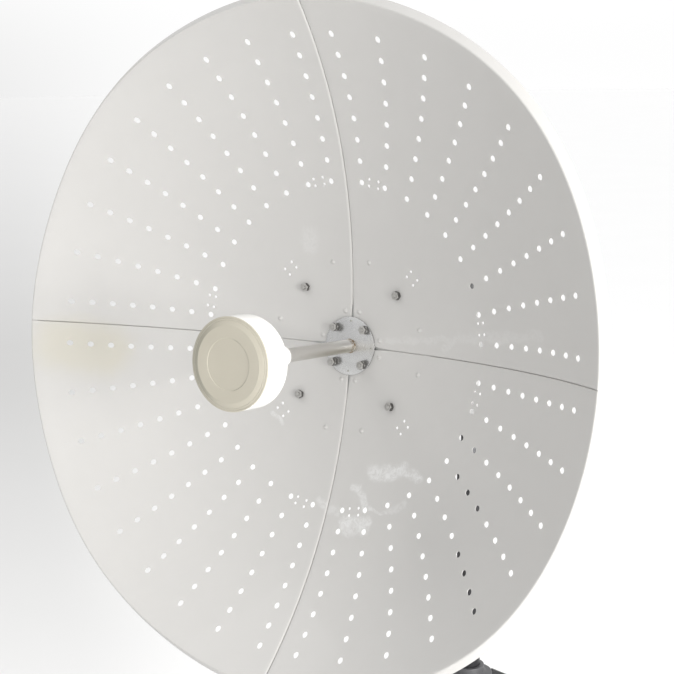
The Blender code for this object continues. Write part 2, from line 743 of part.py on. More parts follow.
def make_clamps():
    """Two pipe clamps. Each has a front jaw on the spine and a rear strap."""
    bore = UPPER_RADIUS + GAP
    for label, height in zip(("upper", "lower"), CLAMP_HEIGHTS):
        low = height - CLAMP_HEIGHT / 2
        jaw = [(-CLAMP_HALF_WIDTH, -CLAMP_FRONT), (CLAMP_HALF_WIDTH, -CLAMP_FRONT)]
        jaw += [(CLAMP_HALF_WIDTH, -CLAMP_SPLIT)]
        dip = math.asin(CLAMP_SPLIT / bore)
        jaw += arc(bore, -dip, -math.pi + dip, 12)
        jaw += [(-CLAMP_HALF_WIDTH, -CLAMP_SPLIT)]
        points, faces = slab(jaw, CLAMP_HEIGHT)
        points = [(p[0], p[1], p[2] + low) for p in points]
        add("clamp_jaw_" + label, points, faces, "zinc")

        outside = bore + CLAMP_WALL
        rise = CLAMP_SPLIT + CLAMP_WALL
        lift = math.asin(rise / outside)
        strap = [(CLAMP_HALF_WIDTH, CLAMP_SPLIT), (CLAMP_HALF_WIDTH, rise)]
        strap += arc(outside, lift, math.pi - lift, 12)
        strap += [(-CLAMP_HALF_WIDTH, rise), (-CLAMP_HALF_WIDTH, CLAMP_SPLIT)]
        strap += arc(bore, math.pi - dip, dip, 12)
        points, faces = slab(strap, CLAMP_HEIGHT)
        points = [(p[0], p[1], p[2] + low) for p in points]
        add("clamp_strap_" + label, points, faces, "zinc")


def make_mast():
    """Thin upper tube, thicker lower tube, the bush between them and the top cap."""
    foot = LOWER_TOP - UPPER_OVERLAP
    inner = UPPER_RADIUS - UPPER_WALL
    wall = [(UPPER_RADIUS, foot), (UPPER_RADIUS, UPPER_TOP), (inner, UPPER_TOP), (inner, foot)]
    points, faces = turned(wall, 32)
    add("mast_upper", points, faces, "dark_steel")

    bore = LOWER_RADIUS - LOWER_WALL
    low = FOOT_THICKNESS + GAP
    wall = [(LOWER_RADIUS, low), (LOWER_RADIUS, LOWER_TOP), (bore, LOWER_TOP), (bore, low)]
    points, faces = turned(wall, 32)
    add("mast_lower", points, faces, "dark_steel")

    hole = UPPER_RADIUS + GAP
    seat = LOWER_TOP + GAP
    top = seat + REDUCER_FLANGE
    bush = [(bore - GAP, LOWER_TOP - REDUCER_DEPTH), (bore - GAP, seat), (REDUCER_RADIUS, seat)]
    bush += [(REDUCER_RADIUS, top - REDUCER_EDGE), (REDUCER_RADIUS - REDUCER_EDGE, top)]
    bush += [(hole, top), (hole, LOWER_TOP - REDUCER_DEPTH)]
    points, faces = turned(bush, 32)
    add("mast_bush", points, faces, "grey_paint")

    base = UPPER_TOP + GAP
    plug = inner - GAP
    wide = UPPER_RADIUS + CAP_OVERHANG
    cap = [(0, base - CAP_PLUG), (plug, base - CAP_PLUG), (plug, base), (wide, base)]
    cap += [(wide, base + CAP_HEIGHT - CAP_EDGE), (wide - CAP_EDGE, base + CAP_HEIGHT)]
    cap += [(0, base + CAP_HEIGHT)]
    points, faces = turned(cap, 32)
    add("mast_cap", points, faces, "dark_steel")


def make_foot():
    """Collar about the mast, four ribs on the diagonals and the foot plate with its anchor holes."""
    bore = LOWER_RADIUS + GAP
    low = FOOT_THICKNESS + GAP
    ring = [(COLLAR_RADIUS, low), (COLLAR_RADIUS, COLLAR_TOP - COLLAR_EDGE)]
    ring += [(COLLAR_RADIUS - COLLAR_EDGE, COLLAR_TOP), (COLLAR_LIP_RADIUS, COLLAR_TOP)]
    ring += [(COLLAR_LIP_RADIUS, COLLAR_LIP_TOP - COLLAR_LIP_EDGE)]
    ring += [(COLLAR_LIP_RADIUS - COLLAR_LIP_EDGE, COLLAR_LIP_TOP), (bore, COLLAR_LIP_TOP), (bore, low)]
    points, faces = turned(ring, 40)
    add("foot_collar", points, faces, "grey_paint")

    near = COLLAR_RADIUS + GAP
    drop = (RIB_REACH - near) * math.tan(RIB_SLOPE)
    top = low + RIB_TIP + drop
    outline = [(near, low), (RIB_REACH, low), (RIB_REACH, low + RIB_TIP), (near, top)]
    names = ["rib_back_right", "rib_back_left", "rib_front_left", "rib_front_right"]
    for quarter, name in enumerate(names):
        points, faces = slab(outline, RIB_THICKNESS)
        points = [(p[0], RIB_THICKNESS / 2 - p[2], p[1]) for p in points]
        turn = math.pi / 4 + quarter * math.pi / 2
        add(name, points, faces, "dark_steel", rotation=(0, 0, turn))

    half = FOOT_HALF
    cut = FOOT_CORNER
    outline = [(-half + cut, -half), (half - cut, -half), (half, -half + cut), (half, half - cut)]
    outline += [(half - cut, half), (-half + cut, half), (-half, half - cut), (-half, -half + cut)]
    spots = [(x * a, y * b) for a, b in ((ANCHOR_OFFSET, ANCHOR_INSET), (ANCHOR_INSET, ANCHOR_OFFSET))
             for x in (-1, 1) for y in (-1, 1)]
    holes = [circle(ANCHOR_HOLE_RADIUS, 12, spot) for spot in spots]
    points, faces = slab(outline, FOOT_THICKNESS, holes)
    add("foot_plate", points, faces, "dark_steel")


def build():
    clear_scene()
    dish = frame("dish_axis", (0, -MAST_SETBACK, VERTEX_HEIGHT), (math.pi / 2 - ELEVATION, 0, 0))
    make_petals(dish)
    make_hub(dish)
    make_feed(dish)
    make_socket(dish)
    make_dish_bracket(dish)
    make_mast_bracket()
    make_pivot_bolts()
    make_clamps()
    make_mast()
    make_foot()


build()
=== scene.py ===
"""Looks of the perforated dish antenna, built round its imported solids."""

import math

import bmesh
import bpy
import numpy as np
from mathutils import Matrix, Vector
from mathutils.geometry import delaunay_2d_cdt


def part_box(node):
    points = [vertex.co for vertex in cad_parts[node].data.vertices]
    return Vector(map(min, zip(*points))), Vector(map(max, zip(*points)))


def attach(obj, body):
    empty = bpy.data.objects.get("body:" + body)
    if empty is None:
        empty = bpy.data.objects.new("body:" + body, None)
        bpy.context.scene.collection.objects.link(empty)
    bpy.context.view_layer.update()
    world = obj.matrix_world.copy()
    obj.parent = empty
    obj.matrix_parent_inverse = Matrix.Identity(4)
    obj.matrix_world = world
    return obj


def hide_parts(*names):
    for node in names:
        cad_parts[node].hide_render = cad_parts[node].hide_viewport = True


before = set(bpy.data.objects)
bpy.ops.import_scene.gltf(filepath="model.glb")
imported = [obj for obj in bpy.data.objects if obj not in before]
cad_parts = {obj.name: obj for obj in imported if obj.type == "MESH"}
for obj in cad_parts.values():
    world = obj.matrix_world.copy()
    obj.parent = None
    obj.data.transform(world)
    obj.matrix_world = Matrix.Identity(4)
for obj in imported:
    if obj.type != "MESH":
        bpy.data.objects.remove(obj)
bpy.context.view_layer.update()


# Studio
# A photographer's view from the right of the dish. The pale floor runs out of sight under
# a pale sky, both with a soft shade at the left. One broad lamp stands at the right, one
# grazes the rim and a weak one hangs above.
CAMERA_PLACE = Vector((1.4810, -2.6012, 1.5241))
CAMERA_HEADING = math.radians(33.7004)
CAMERA_PITCH = math.radians(-12.8957)
CAMERA_ROLL = math.radians(-0.7294)
LENS_MM = 77.376
SENSOR_MM = 36.0
LENS_SHIFT = (-0.04782, 0.07346)
FLOOR_RADIUS = 60.0
DISH_MIDDLE = Vector((0.0, -0.45, 1.0))
SHADE_BEARINGS = (math.radians(39.5), math.radians(49.0))
SHADE_COLOUR = (0.25, 0.245, 0.235)
SHADE_SKY_COLOUR = (0.24, 0.235, 0.225)
SHADE_ON_FLOOR = 0.52
SHADE_ON_SKY = 0.37
DARKER_SIDE = (-0.86, -0.48, -0.15)
SKY_STRENGTH = 1.17


class Tone:
    """An output of a material's nodes. Sums and products of tones add Math nodes."""

    def __init__(self, tree, socket=None):
        self.tree = tree
        self.socket = socket

    def node(self, kind, settings=None, inputs=None, output=0):
        """A new node: its settings first, then its inputs, each a value or a tone."""
        made = self.tree.nodes.new("ShaderNode" + kind)
        for name, value in (settings or {}).items():
            setattr(made, name, value)
        for name, value in (inputs or {}).items():
            if isinstance(value, Tone):
                self.tree.links.new(value.socket, made.inputs[name])
            else:
                made.inputs[name].default_value = value
        return Tone(self.tree, made.outputs[output])

    def math(self, operation, *values):
        return self.node("Math", {"operation": operation}, dict(enumerate(values)))

    def __add__(self, other):
        return self.math("ADD", self, other)

    def __sub__(self, other):
        return self.math("SUBTRACT", self, other)

    def __rsub__(self, other):
        return self.math("SUBTRACT", other, self)

    def __mul__(self, other):
        return self.math("MULTIPLY", self, other)

    def __truediv__(self, other):
        return self.math("DIVIDE", self, other)

    def __rtruediv__(self, other):
        return self.math("DIVIDE", other, self)

    __radd__ = __add__

    def normal(self):
        """Which way the surface faces."""
        return self.node("NewGeometry", output="Normal")

    def part(self, axis):
        """The X, Y or Z of a vector."""
        return self.node("SeparateXYZ", {}, {"Vector": self}, output=axis)

    def root(self):
        return self.math("SQRT", self)

    def size(self):
        return self.math("ABSOLUTE", self)

    def along(self, direction):
        """How far a vector reaches in a direction."""
        settings = {"operation": "DOT_PRODUCT"}
        return self.node("VectorMath", settings, {0: self, 1: direction}, output="Value")

    def between_0_and_1(self):
        return self.math("MINIMUM", self.math("MAXIMUM", self, 0.0), 1.0)

    def step(self, low, high):
        """Smoothly 0 below low and 1 above high, or the other way round if low > high."""
        rising = {"From Min": min(low, high), "From Max": max(low, high)}
        rising["To Min"], rising["To Max"] = (0.0, 1.0) if low < high else (1.0, 0.0)
        settings = {"interpolation_type": "SMOOTHSTEP"}
        return self.node("MapRange", settings, {"Value": self, **rising})

    def between(self, first, second):
        """A colour: the first where this tone is 0 and the second where it is 1."""
        settings = {"data_type": "RGBA", "blend_type": "MIX", "clamp_factor": True}
        ends = {6: colour(first), 7: colour(second)}
        return self.node("Mix", settings, {0: self, **ends}, output=2)

    def noise(self, place, size, detail=3.0, rough=0.5, warp=0.0):
        """Cloudy noise from 0 to 1 whose lumps are about size metres across."""
        inputs = {"Vector": place, "Scale": 1.0 / size, "Detail": detail, "Roughness": rough}
        return self.node("TexNoise", {}, {**inputs, "Distortion": warp})

    def bump(self, height, depth):
        """A normal from a height that counts from 0 to 1 and is depth metres at 1."""
        return self.node("Bump", {}, {"Height": height, "Strength": 1.0, "Distance": depth})


def colour(value):
    """A colour socket's value: a tone as it is, or three numbers with alpha added."""
    return value if isinstance(value, Tone) else (*value, 1.0)


def finish(name, recipe):
    """A material whose shader gets what recipe(tone, place) returns, by input name."""
    made = bpy.data.materials.new(name)
    made.use_nodes = True
    tree = made.node_tree
    shader = tree.nodes["Principled BSDF"]
    tone = Tone(tree)
    place = tone.node("TexCoord", output="Object")
    for socket, value in recipe(tone, place).items():
        if isinstance(value, Tone):
            tree.links.new(value.socket, shader.inputs[socket])
        elif isinstance(value, tuple):
            shader.inputs[socket].default_value = colour(value)
        else:
            shader.inputs[socket].default_value = value
    return made


def left_shade(tone, across, ahead, drop):
    """A soft patch at the picture's left: a step of the bearing plus 0.1 q, times a ramp of q.

    With q the slope down to the floor, the ramp is the smaller of (q + 0.06) / 0.25 and
    1 - 2.3 (q - 0.22), kept between 0 and 1.
    """
    slope = drop / (across * across + ahead * ahead).root()
    bearing = tone.math("ARCTAN2", across * -1.0, ahead) + slope * 0.1
    ramp = tone.math("MINIMUM", (slope + 0.06) / 0.25, 1.0 - (slope - 0.22) * 2.3)
    return bearing.step(*SHADE_BEARINGS) * ramp.between_0_and_1()


def floor_paint(tone, place):
    shade = left_shade(tone, place.part("X") - CAMERA_PLACE.x, place.part("Y") - CAMERA_PLACE.y, CAMERA_PLACE.z)
    white = tone.noise(place, 0.7).between((0.865, 0.865, 0.865), (0.885, 0.885, 0.885))
    return {"Base Color": (shade * SHADE_ON_FLOOR).between(white, SHADE_COLOUR), "Roughness": 0.6}


def whole_turn(sides):
    """Angles of a whole turn in even steps."""
    return np.linspace(0, 2 * np.pi, sides, endpoint=False)


turn = whole_turn(96)
floor_mesh = bpy.data.meshes.new("floor")
floor_rim = np.stack([FLOOR_RADIUS * np.cos(turn), FLOOR_RADIUS * np.sin(turn), 0 * turn], -1)
floor_mesh.from_pydata(floor_rim.tolist(), [], [list(range(len(turn)))])
floor_mesh.materials.append(finish("studio_floor", floor_paint))
floor = bpy.data.objects.new("floor", floor_mesh)
bpy.context.scene.collection.objects.link(floor)

camera = bpy.data.objects.new("camera", bpy.data.cameras.new("camera"))
bpy.context.scene.collection.objects.link(camera)
aim = Matrix.Rotation(CAMERA_HEADING, 4, "Z")
aim = aim @ Matrix.Rotation(math.pi / 2 + CAMERA_PITCH, 4, "X") @ Matrix.Rotation(CAMERA_ROLL, 4, "Z")
camera.matrix_world = Matrix.Translation(CAMERA_PLACE) @ aim
camera.data.sensor_width = SENSOR_MM
camera.data.lens = LENS_MM
camera.data.shift_x, camera.data.shift_y = LENS_SHIFT
bpy.context.scene.camera = camera


def lamp(name, place, size, watts, tint):
    """A square soft lamp that faces the dish."""
    light = bpy.data.lights.new(name, "AREA")
    light.size = size
    light.energy = watts
    light.color = tint
    made = bpy.data.objects.new(name, light)
    bpy.context.scene.collection.objects.link(made)
    made.location = place
    made.rotation_euler = (DISH_MIDDLE - Vector(place)).to_track_quat("-Z", "Y").to_euler()


lamp("side_lamp", (3.7, -1.75, 1.3), 1.6, 125.0, (1.0, 0.99, 0.97))
lamp("rim_lamp", (3.6, -0.45, 1.1), 0.8, 40.0, (1.0, 0.99, 0.98))
lamp("top_lamp", (-2.5, -2.5, 4.2), 1.6, 24.0, (1.0, 0.99, 0.97))
world = bpy.data.worlds.new("studio")
world.use_nodes = True
sky = Tone(world.node_tree)
facing = sky.node("TexCoord", output="Generated")
up = facing.part("Z")
shade = left_shade(sky, facing.part("X"), facing.part("Y"), up * -1.0)
horizon = up.size().step(0.0, 0.2) * 0.15 + 0.85
glow = facing.along(DARKER_SIDE).step(0.15, 1.0).between((1.0, 1.0, 1.0), (0.52, 0.52, 0.52))
glow = (shade * SHADE_ON_SKY).between(glow, SHADE_SKY_COLOUR)
glow = sky.node("VectorMath", {"operation": "SCALE"}, {0: glow, "Scale": horizon})
background = world.node_tree.nodes["Background"]
world.node_tree.links.new(glow.socket, background.inputs["Color"])
background.inputs["Strength"].default_value = SKY_STRENGTH
bpy.context.scene.world = world
bpy.context.scene.view_settings.view_transform = "Standard"


# Foot
# A cut steel plate with a turned collar welded in its middle and four flat ribs on
# the diagonals, all painted near black but for the grey collar, and held by anchor bolts.
FOOT_CUT = 0.030
ANCHORS = [(0.245, 0.150), (0.150, 0.245)]
ANCHOR_HOLE = 0.007
ANCHOR_RADIUS = 0.006
ANCHOR_STICK = 0.034
ANCHOR_PITCH = 0.00175
ANCHOR_WASHER = (0.0125, 0.0062, 0.0022)
ANCHOR_NUT = (0.018, 0.0098, 0.0052)
GAP = 0.0003
NECK_RADIUS = 0.0347
NECK_HEIGHT = 0.017
RIB_THICKNESS = 0.008
RIB_REACH = 0.370
RIB_TIP = 0.016
RIB_SLOPE = math.radians(27.7)
RIB_WELD = 0.0032
COLLAR_WELD = 0.0030


def skin(rows, columns, closed_rows=False, closed_columns=False):
    """Quads over a grid of points that counts row by row."""
    r = np.arange(rows if closed_rows else rows - 1)[:, None]
    c = np.arange(columns if closed_columns else columns - 1)[None, :]
    after_r = (r + 1) % rows
    after_c = (c + 1) % columns
    corners = [r * columns + c, r * columns + after_c, after_r * columns + after_c, after_r * columns + c]
    return np.stack(np.broadcast_arrays(*corners), -1).reshape(-1, 4)


def joined(*shapes):
    """Several shapes as one: points in a row, faces counted on."""
    starts = np.cumsum([0] + [len(points) for points, _ in shapes])
    faces = [part + start for (_, parts), start in zip(shapes, starts) for part in parts]
    return np.concatenate([points for points, _ in shapes]), faces


def moved(shape, place=(0, 0, 0), axis=None, angle=0.0):
    """A shape turned about an axis through the origin, then shifted."""
    points, faces = shape
    if axis:
        points = points @ np.array(Matrix.Rotation(angle, 3, axis)).T
    return points + np.asarray(place, float), faces


def piece(name, shape, material, slot, *nodes, sharp=35.0, plan=None):
    """A named mesh at the origin with closed seams, faces outwards and its place in its points."""
    points, faces = shape
    mesh = bpy.data.meshes.new(name)
    mesh.from_pydata(points.tolist(), [], [f for part in faces for f in part.tolist()])
    if plan is not None:
        corners = np.zeros(len(mesh.loops), np.int32)
        mesh.loops.foreach_get("vertex_index", corners)
        layer = mesh.uv_layers.new(name="plan")
        layer.data.foreach_set("uv", plan[corners].astype(np.float32).ravel())
    work = bmesh.new()
    work.from_mesh(mesh)
    bmesh.ops.remove_doubles(work, verts=work.verts, dist=1e-6)
    bmesh.ops.dissolve_degenerate(work, edges=work.edges, dist=1e-7)
    bmesh.ops.recalc_face_normals(work, faces=work.faces)
    work.to_mesh(mesh)
    work.free()
    mesh.shade_smooth()
    mesh.set_sharp_from_angle(angle=math.radians(sharp))
    mesh.materials.append(material)
    made = bpy.data.objects.new(name, mesh)
    bpy.context.scene.collection.objects.link(made)
    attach(made, "root")
    if nodes:
        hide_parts(*nodes)
    return made


def eased(corners, radius, steps=5):
    """A closed outline with each corner as an arc. The radius is one number or one for each corner.

    The arc's centre lies on the corner's bisector, radius / sin(half the angle) away.
    """
    corners = np.asarray(corners, float)
    radii = np.broadcast_to(radius, len(corners))
    found = []
    for k, corner in enumerate(corners):
        back = corners[k - 1] - corner
        ahead = corners[(k + 1) % len(corners)] - corner
        back /= np.linalg.norm(back)
        ahead /= np.linalg.norm(ahead)
        half = np.arccos(np.clip(back @ ahead, -1, 1)) / 2
        if radii[k] == 0 or abs(half - np.pi / 2) < 1e-3:
            found.append(corner[None])
            continue
        middle = corner + (back + ahead) / np.linalg.norm(back + ahead) * radii[k] / np.sin(half)
        first = corner + back * radii[k] / np.tan(half) - middle
        last = corner + ahead * radii[k] / np.tan(half) - middle
        span = np.pi - 2 * half
        share = np.linspace(0, 1, steps + 1)[:, None]
        found.append(middle + (np.sin((1 - share) * span) * first + np.sin(share * span) * last) / np.sin(span))
    return np.concatenate(found)


def around(r, z, t, closed):
    """Points (r cos t, r sin t, z) about Z and their faces, with t down the rows."""
    points = np.stack([r * np.cos(t), r * np.sin(t), z + 0 * t], -1).reshape(-1, 3)
    return points, [skin(len(t), len(z), True, closed)]


def turned(profile, sides=64):
    """Surface of revolution about Z: point (r, z) of the profile goes to (r cos t, r sin t, z).

    The profile is a closed ring, or starts and ends on the axis.
    """
    profile = np.asarray(profile, float)
    r, z = profile[:, 0], profile[:, 1]
    return around(r, z, whole_turn(sides)[:, None], bool(r[0] > 0 or r[-1] > 0))


def solid_profile(corners, radius, steps=5):
    """Profile of a turned solid: its corners eased, but for those on the axis."""
    corners = np.asarray(corners, float)
    radii = np.where(corners[:, 0] > 0, np.broadcast_to(radius, len(corners)), 0)
    found = eased(corners, radii, steps)
    start = int(np.argmin(np.hypot(*(found - corners[0]).T)))
    return np.roll(found, -start, axis=0)


def within(points, loop):
    """True where a point lies in a closed loop: an odd number of edges pass on its right."""
    x, y = points[:, 0, None], points[:, 1, None]
    ax, ay = loop.T
    bx, by = np.roll(loop, -1, axis=0).T
    crosses = (ay > y) != (by > y)
    rise = np.where(by == ay, 1.0, by - ay)
    return (crosses & (x < ax + (y - ay) * (bx - ax) / rise)).sum(1) % 2 == 1


def fill(loops, extra=None):
    """Triangles over the first loop, less the other loops, as numbers of the loops' and extra points."""
    points = np.concatenate(loops if extra is None else [*loops, extra])
    edges = []
    start = 0
    for loop in loops:
        count = len(loop)
        edges += [(start + k, start + (k + 1) % count) for k in range(count)]
        start += count
    found = delaunay_2d_cdt([Vector(p) for p in points], edges, [], 0, 1e-7)
    first = np.array([min(ids) for ids in found[3]])
    triangles = first[np.array(found[2])]
    middles = points[triangles].mean(1)
    keep = within(middles, loops[0])
    for loop in loops[1:]:
        near = np.abs(middles - loop.mean(0)).max(1) < np.ptp(loop, axis=0).max()
        keep[near] &= ~within(middles[near], loop)
    return triangles[keep]


def anticlockwise(loop):
    """A loop turned so that its inside lies on its left."""
    ahead = np.roll(loop, -1, axis=0)
    area = (loop[:, 0] * ahead[:, 1] - ahead[:, 0] * loop[:, 1]).sum()
    return loop if area > 0 else loop[::-1]


def plate(outline, holes, thickness, ease):
    """A flat plate on z = 0. A profile with rounded edges runs round each outline, and both faces are filled.

    At the profile's angle p a point moves in by ease (1 - sin p) along the outline's miter.
    """
    p = np.linspace(0, np.pi / 2, 4)
    inward = ease * (1 - np.sin(p))
    height = ease * (1 - np.cos(p))
    inward = np.concatenate([inward, inward[::-1]])
    height = np.concatenate([height, thickness - height[::-1]])
    loops = [anticlockwise(np.asarray(outline, float))]
    loops += [anticlockwise(np.asarray(hole, float))[::-1] for hole in holes]
    shapes = []
    caps = []
    for loop in loops:
        ahead = np.roll(loop, -1, axis=0) - loop
        ahead /= np.linalg.norm(ahead, axis=1)[:, None]
        after = np.stack([ahead[:, 1], -ahead[:, 0]], -1)
        before = np.roll(after, 1, axis=0)
        out = (before + after) / (1 + (before * after).sum(1))[:, None]
        flat = loop[None] - out[None] * inward[:, None, None]
        tall = np.broadcast_to(height[:, None, None], (*flat.shape[:2], 1))
        shapes.append((np.concatenate([flat, tall], -1).reshape(-1, 3), [skin(len(height), len(loop), False, True)]))
        caps.append(flat[0])
    cap = fill(caps)
    flat = np.concatenate(caps)
    for z in (0.0, thickness):
        shapes.append((np.column_stack([flat, np.full(len(flat), z)]), [cap]))
    return joined(*shapes)


def ring(radius, sides=24, centre=(0.0, 0.0)):
    """Points of a circle."""
    t = whole_turn(sides)
    return np.stack([centre[0] + radius * np.cos(t), centre[1] + radius * np.sin(t)], -1)


def rectangle(low, high):
    """The four corners between two opposite ones."""
    return [(low[0], low[1]), (high[0], low[1]), (high[0], high[1]), (low[0], high[1])]


def nut(flats, height, bore=0.0):
    """A hexagon about Z whose corners are turned off by a cone at both ends.

    Radius at angle t and height z: the smaller of the hexagon's, flats / 2 / cos(t folded into a side),
    and the cone's, which grows from 0.47 flats by 1.7 times the distance from the end.
    """
    t = whole_turn(60)[:, None]
    folded = (t + np.pi / 6) % (np.pi / 3) - np.pi / 6
    side = flats / 2 / np.cos(folded)
    ends = np.linspace(0, 0.08 * flats, 6)
    z = np.concatenate([[0], ends, height - ends[::-1], [height]])
    cone = 0.47 * flats + 1.7 * np.minimum(z, height - z)
    r = np.minimum(side, cone)
    r[:, [0, -1]] = bore
    return around(r, z, t, bore > 0)


def thread(radius, start, end, pitch=0.00125, sides=24):
    """A threaded stud about Z: radius less 0.3 pitch (1 + cos(2 pi z / pitch - t)), with a chamfered end."""
    t = whole_turn(sides)[:, None]
    z = np.linspace(start, end, int((end - start) / pitch * 6) + 2)
    r = radius - 0.3 * pitch * (1 + np.cos(2 * np.pi * z / pitch - t))
    r = np.minimum(r, radius * 0.8 + np.minimum(end - z, z - start + radius))
    z = np.concatenate([[start], z, [end]])
    return around(np.pad(r, ((0, 0), (1, 1))), z, t, False)


def washer(radius, bore, thickness, base=0.0):
    """A flat washer about Z with eased edges."""
    return turned(eased(rectangle((bore, base), (radius, base + thickness)), thickness * 0.3, 3), 40)


def bead(path, radius, ripple=0.0028, sides=8, closed=False):
    """A weld bead: a circle carried along a path, whose radius swells by a tenth at each ripple."""
    path = np.asarray(path, float)
    if closed:
        ahead = np.roll(path, -1, axis=0) - np.roll(path, 1, axis=0)
    else:
        ahead = np.gradient(path, axis=0)
    ahead /= np.linalg.norm(ahead, axis=1)[:, None]
    run = np.cumsum(np.linalg.norm(np.diff(path, axis=0, prepend=path[:1]), axis=1))
    swell = radius * (1 + 0.1 * np.sin(2 * np.pi * run / ripple))
    if not closed:
        swell = swell * np.sqrt(np.clip(np.minimum(run, run[-1] - run) / radius, 0, 1))
    helper = np.eye(3)[np.argmin(np.abs(ahead).sum(0))]
    across = np.cross(ahead, helper)
    across /= np.linalg.norm(across, axis=1)[:, None]
    up = np.cross(across, ahead)
    t = whole_turn(sides)[None, :, None]
    points = path[:, None] + swell[:, None, None] * (across[:, None] * np.cos(t) + up[:, None] * np.sin(t))
    return points.reshape(-1, 3), [skin(len(path), sides, closed, True)]


def run_between(start, end):
    """Points on a straight line, a little under 0.6 mm apart."""
    start, end = np.asarray(start, float), np.asarray(end, float)
    count = int(np.linalg.norm(end - start) / 0.0006) + 2
    return start + (end - start) * np.linspace(0, 1, count)[:, None]


def black_paint(tone, place):
    cloud = tone.noise(place, 0.045, 4.0)
    speck = tone.noise(place, 0.004, 3.0, 0.6)
    chip = (speck + cloud * 0.35).step(0.93, 0.97)
    dust = tone.noise(place, 0.12, 5.0, 0.65).step(0.45, 0.75)
    paint = dust.between((0.018, 0.018, 0.020), (0.042, 0.040, 0.039))
    grain = tone.noise(place, 0.0016, 2.0)
    return {
        "Base Color": chip.between(paint, (0.21, 0.19, 0.17)),
        "Specular IOR Level": 0.3,
        "Roughness": 0.36 + dust * 0.22,
        "Normal": tone.bump(grain, 0.00012),
    }


def grey_enamel(tone, place):
    cloud = tone.noise(place, 0.03, 4.0)
    groove = tone.math("SINE", place.part("Z") * 5200.0) * 0.5 + 0.5
    return {
        "Base Color": cloud.between((0.070, 0.070, 0.074), (0.110, 0.110, 0.115)),
        "Roughness": 0.38 + cloud * 0.18,
        "Metallic": 0.25,
        "Normal": tone.bump(groove + tone.noise(place, 0.002), 0.00006),
    }


def plated_steel(tone, place):
    cloud = tone.noise(place, 0.006, 4.0, 0.6)
    stain = tone.noise(place, 0.0025, 3.0).step(0.5, 0.75)
    metal = cloud.between((0.36, 0.36, 0.34), (0.55, 0.54, 0.51))
    return {
        "Base Color": stain.between(metal, (0.22, 0.21, 0.19)),
        "Metallic": 0.95,
        "Roughness": 0.22 + cloud * 0.22,
        "Normal": tone.bump(tone.noise(place, 0.0012), 0.00005),
    }


BLACK = finish("black_paint", black_paint)
ENAMEL = finish("grey_enamel", grey_enamel)
BOLT_STEEL = finish("plated_steel", plated_steel)

plate_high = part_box("foot_plate")[1]
half = plate_high.x
inset = half - FOOT_CUT
anchor_spots = [(x * a, y * b) for a, b in ANCHORS for x in (-1, 1) for y in (-1, 1)]
foot_corners = [(-inset, -half), (inset, -half), (half, -inset), (half, inset),
                (inset, half), (-inset, half), (-half, inset), (-half, -inset)]
anchor_holes = [ring(ANCHOR_HOLE, 24, spot) for spot in anchor_spots]
foot_shape = plate(eased(foot_corners, 0.008), anchor_holes, plate_high.z, 0.0012)
piece("foot_plate_steel", foot_shape, BLACK, "dark_steel", "foot_plate")

collar_low, collar_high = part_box("foot_collar")
mast_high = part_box("mast_lower")[1]
collar_r = collar_high.x
bore = mast_high.x + GAP
neck_z = collar_high.z - NECK_HEIGHT
collar_corners = [
    (bore, collar_low.z), (collar_r, collar_low.z), (collar_r, neck_z), (NECK_RADIUS + 0.006, neck_z),
    (NECK_RADIUS, neck_z + 0.003), (NECK_RADIUS, collar_high.z), (bore, collar_high.z),
]
collar_profile = eased(collar_corners, [0.0004, 0.001, 0.003, 0.002, 0.002, 0.0018, 0.0006])
piece("foot_collar_casting", turned(collar_profile, 96), ENAMEL, "grey_paint", "foot_collar")

RIBS = {"rib_back_right": 1, "rib_back_left": 3, "rib_front_left": 5, "rib_front_right": 7}
near = collar_r + GAP
base = collar_low.z
rib_top = base + math.tan(RIB_SLOPE) * (RIB_REACH - collar_r) + RIB_TIP
rib_corners = [(near, base), (RIB_REACH, base), (RIB_REACH, base + RIB_TIP), (near, rib_top)]
rib = plate(eased(rib_corners, [0.002, 0.002, 0.004, 0.002]), [], RIB_THICKNESS, 0.001)
rib_parts = [moved(rib, (0, RIB_THICKNESS / 2, 0), "X", math.pi / 2)]
for y in (-RIB_THICKNESS / 2, RIB_THICKNESS / 2):
    along_plate = run_between((near + 0.004, y, base + 0.001), (RIB_REACH - 0.006, y, base + 0.001))
    up_collar = run_between((near, y, base + 0.004), (near, y, rib_top - 0.012))
    rib_parts += [bead(along_plate, RIB_WELD), bead(up_collar, COLLAR_WELD)]
for name, eighth in RIBS.items():
    shape = moved(joined(*rib_parts), (0, 0, 0), "Z", eighth * math.pi / 4)
    piece(name + "_steel", shape, BLACK, "dark_steel", name)

anchor = joined(
    washer(*ANCHOR_WASHER, plate_high.z + 0.0002),
    moved(nut(*ANCHOR_NUT), (0, 0, plate_high.z + 0.0025)),
    thread(ANCHOR_RADIUS, 0.0004, ANCHOR_STICK, ANCHOR_PITCH),
)
anchors = [moved(anchor, (x, y, 0), "Z", 0.7 * k) for k, (x, y) in enumerate(anchor_spots)]
piece("anchor_bolts", joined(*anchors), BOLT_STEEL, "bolt_steel")


# Mast
# A thin steel tube stands in a thicker one, centred by a turned bush, and a pressed
# cap closes the top. Both tubes are painted near black.
def mast_tube(name, wall):
    """A tube with eased ends on the place of a CAD tube."""
    low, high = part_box(name)
    corners = rectangle((high.x - wall, low.z), (high.x, high.z))
    piece(name + "_tube", turned(eased(corners, 0.0006, 3), 72), BLACK, "dark_steel", name)


